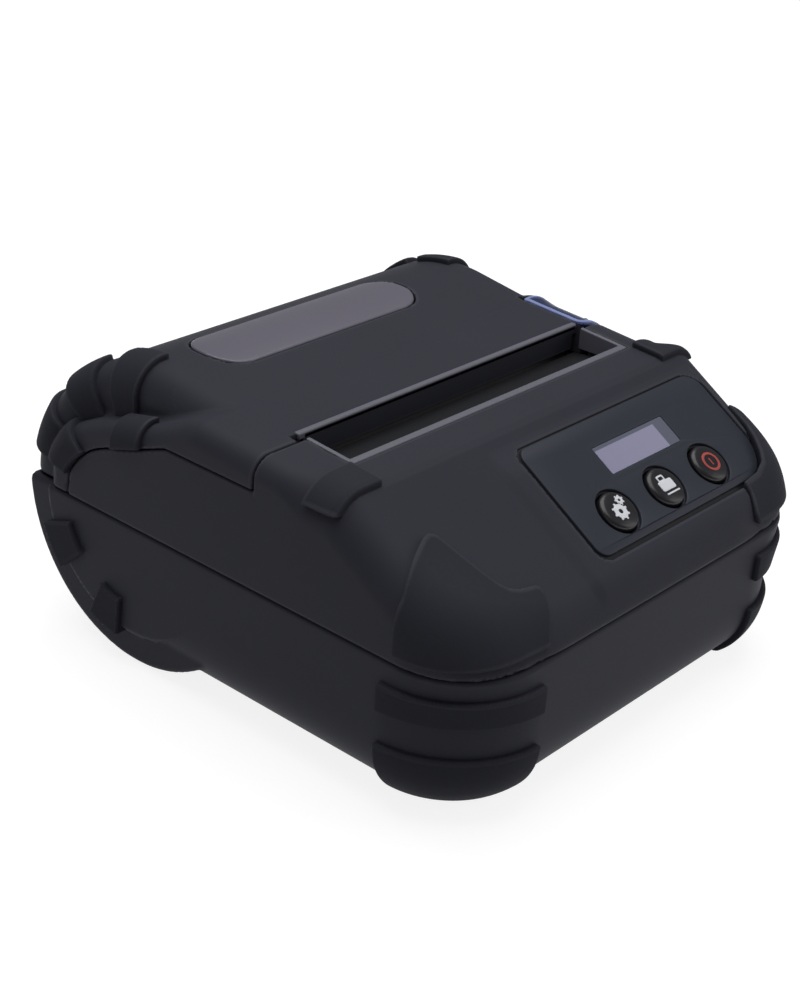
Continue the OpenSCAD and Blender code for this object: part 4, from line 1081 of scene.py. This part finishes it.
# %% Tear bar
tree, given = start_tree("tear_bar_rule", {"Teeth": "Int", "Step": "Float", "Material": "Material"})
offset = add(tree, "ShaderNodeCombineXYZ", links={"X": given["Step"]})
row = add(tree, "GeometryNodeMeshLine", values={"Start Location": at(-38.63, 43.1, 53.2)},
          links={"Count": given["Teeth"], "Offset": offset.outputs["Vector"]})
tooth = add(tree, "GeometryNodeMeshCone",
            values={"Vertices": 4, "Radius Top": 0.00008, "Radius Bottom": 0.00107, "Depth": 0.0007})
sharp = add(tree, "GeometryNodeTransform", values={"Rotation": (0, 0, math.radians(45))},
            links={"Geometry": tooth.outputs["Mesh"]})
thin = add(tree, "GeometryNodeTransform", values={"Scale": (1, 0.39, 1)},
           links={"Geometry": sharp.outputs[0]})
teeth = add(tree, "GeometryNodeInstanceOnPoints",
            links={"Points": row.outputs["Mesh"], "Instance": thin.outputs[0]})
blade = add(tree, "GeometryNodeMeshCube", values={"Size": (0.0788, 0.0006, 0.0012)})
seat = add(tree, "GeometryNodeTransform", values={"Translation": at(0, 43.1, 52.6)},
           links={"Geometry": blade.outputs["Mesh"]})
both = add(tree, "GeometryNodeJoinGeometry", links={"Geometry": seat.outputs[0]})
tree.links.new(teeth.outputs[0], both.inputs["Geometry"])
end_tree(tree, both.outputs[0], given["Material"])
tear_bar = grow("tear_bar_blade", tree, {"Teeth": 52, "Step": 1.515 * MM, "Material": finish["steel"]})

# %% [markdown]
# ## Springs behind the print head
# Three small coil springs press the head against the roller. One coil is swept along a spiral, laid on
# its side, and copied to three points.

# %% Springs behind the print head
tree, given = start_tree("head_spring_rule", {"Springs": "Int", "Turns": "Float", "Material": "Material"})
row = add(tree, "GeometryNodeMeshLine",
          values={"Start Location": at(-14, 38.75, 45), "Offset": (0.014, 0, 0)},
          links={"Count": given["Springs"]})
coil = add(tree, "GeometryNodeCurveSpiral",
           values={"Resolution": 24, "Start Radius": 0.0015, "End Radius": 0.0015, "Height": 0.0017},
           links={"Rotations": given["Turns"]})
wire = add(tree, "GeometryNodeCurvePrimitiveCircle", {"mode": "RADIUS"},
           {"Resolution": 10, "Radius": 0.00018})
swept = add(tree, "GeometryNodeCurveToMesh", values={"Fill Caps": True},
            links={"Curve": coil.outputs[0], "Profile Curve": wire.outputs[0]})
laid = add(tree, "GeometryNodeTransform", values={"Rotation": (math.radians(-90), 0, 0)},
           links={"Geometry": swept.outputs[0]})
springs = add(tree, "GeometryNodeInstanceOnPoints",
              links={"Points": row.outputs["Mesh"], "Instance": laid.outputs[0]})
end_tree(tree, springs.outputs[0], given["Material"])
spring_set = grow("head_spring_coils", tree, {"Springs": 3, "Turns": 3.5, "Material": finish["steel"]})

# %% [markdown]
# ## Every piece rides on its body
# Each skin is tied to the frame's body that moves it, says which material slot it belongs to, and names
# the plain CAD node that it stands for. So the cover's skin swings with the cover, and the hidden node
# below it doesn't show through. The signs stand for no node, and only ride along.

# %% Hand the skins to their bodies
dressed = [
    (upper_skin, "case", "case_plastic", ["upper_case"]),
    (cover_skin, "cover", "case_plastic", ["paper_cover"]),
    (lower_skin, "case", "case_plastic", ["lower_case"]),
    (guard_left, "case", "guard_rubber", ["guard_left"]),
    (guard_right, "case", "guard_rubber", ["guard_right"]),
]
mirrored = {"corner_bands": ("case", bands), "top_band": ("case", deck_bands),
            "cover_ribs": ("cover", lid_ribs), "rear_ribs": ("case", rear_ribs)}
for name, (body, pair) in mirrored.items():
    dressed += [(pair[word], body, "guard_rubber", [f"{name}_{word}"]) for word in pair]
dressed += [
    (trim, "case", "strip_plastic", ["slot_frame"]),
    (edge_bar, "cover", "strip_plastic", ["cover_edge_bar"]),
    (glass, "cover", "smoke_window", ["cover_window"]),
    (lever_body, "lever", "lever_blue", ["release_lever"]),
    (lever_axle, "cover", "steel", ["lever_pin"]),
    (film, "case", "panel_film", ["control_panel"]),
    (display, "case", "lens", ["display_lens"]),
    (one_screw, "case", "steel", ["case_screws"]),
    (settings_key, "settings_key", "button", ["settings_button"]),
    (feed_key, "feed_key", "button", ["feed_button"]),
    (power_key, "power_key", "button", ["power_button"]),
    (tear_bar, "case", "steel", ["tear_bar"]),
    (spring_set, "case", "steel", ["head_springs"]),
]
signs = [
    (gap_shade, "case", "inner_plastic", finish["inner_plastic"]),
    (lever_edge, "lever", "lever_blue", rim_highlight_blue),
    (settings_sign, "settings_key", "button", white_ink),
    (feed_sign, "feed_key", "button", white_ink),
    (power_sign, "power_key", "button", red_ink),
]
for thing, body, slot, hidden in dressed:
    wear(thing, finish[slot])
    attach(thing, body)
    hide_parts(*hidden)
for thing, body, slot, ink in signs:
    wear(thing, ink)
    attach(thing, body)
print(len(dressed) + len(signs), "pieces dressed")

# %% [markdown]
# ## Floor and light
# The photograph has a white background and soft light from above, as in a small product studio. The
# floor is one plane. The camera, mirrors and clear pieces see it glow white, while to all other light
# it is plain grey paper, so the background is white and the printer isn't lit by it. Three large area
# lamps keep the shadows soft: one above, one to the right that gives the slope its sheen, and a weak
# one at the left for the drum's end.

# %% Stage and lamps
floor_mesh = bpy.data.meshes.new("studio_floor")
floor_mesh.from_pydata([(-4, -4, 0), (4, -4, 0), (4, 4, 0), (-4, 4, 0)], [], [(0, 1, 2, 3)])
floor = bpy.data.objects.new("studio_floor", floor_mesh)
bpy.context.scene.collection.objects.link(floor)
paper = bpy.data.materials.new("paper_white_seamless")
paper.use_nodes = True
paper.node_tree.nodes.clear()
ray = add(paper, "ShaderNodeLightPath")
seen = add(paper, "ShaderNodeMath", {"operation": "MAXIMUM"}, {},
           {0: ray.outputs["Is Camera Ray"], 1: ray.outputs["Is Transmission Ray"]})
seen = add(paper, "ShaderNodeMath", {"operation": "MAXIMUM"}, {},
           {0: seen.outputs["Value"], 1: ray.outputs["Is Glossy Ray"]})
pale = add(paper, "ShaderNodeBsdfDiffuse", values={"Color": linear("#9c9c9c")})
white = add(paper, "ShaderNodeEmission", values={"Color": (1, 1, 1, 1), "Strength": 0.85})
glow = add(paper, "ShaderNodeAddShader", links={0: pale.outputs["BSDF"], 1: white.outputs["Emission"]})
blend = add(paper, "ShaderNodeMixShader",
            links={"Fac": seen.outputs["Value"], 1: pale.outputs["BSDF"], 2: glow.outputs["Shader"]})
add(paper, "ShaderNodeOutputMaterial", links={"Surface": blend.outputs["Shader"]})
wear(floor, paper)

world = bpy.data.worlds.new("studio_world")
bpy.context.scene.world = world
world.use_nodes = True
world.node_tree.nodes["Background"].inputs["Color"].default_value = (1, 1, 1, 1)
world.node_tree.nodes["Background"].inputs["Strength"].default_value = 0.18


def lamp(name, at, size, watts):
    data = bpy.data.lights.new(name, "AREA")
    data.shape = "RECTANGLE"
    data.size, data.size_y = size
    data.energy = watts
    made = bpy.data.objects.new(name, data)
    made.location = at
    made.rotation_euler = (Vector((0, 0, 0.03)) - Vector(at)).to_track_quat("-Z", "Y").to_euler()
    bpy.context.scene.collection.objects.link(made)


lamp("softbox_top", (0.1, 0.15, 0.9), (0.9, 0.9), 5.8)
lamp("softbox_right", (0.7, -0.7, 0.45), (0.6, 0.6), 1.3)
lamp("softbox_left", (-0.9, -0.2, 0.5), (0.6, 0.6), 0.2)
bpy.context.scene.view_settings.view_transform = "Standard"
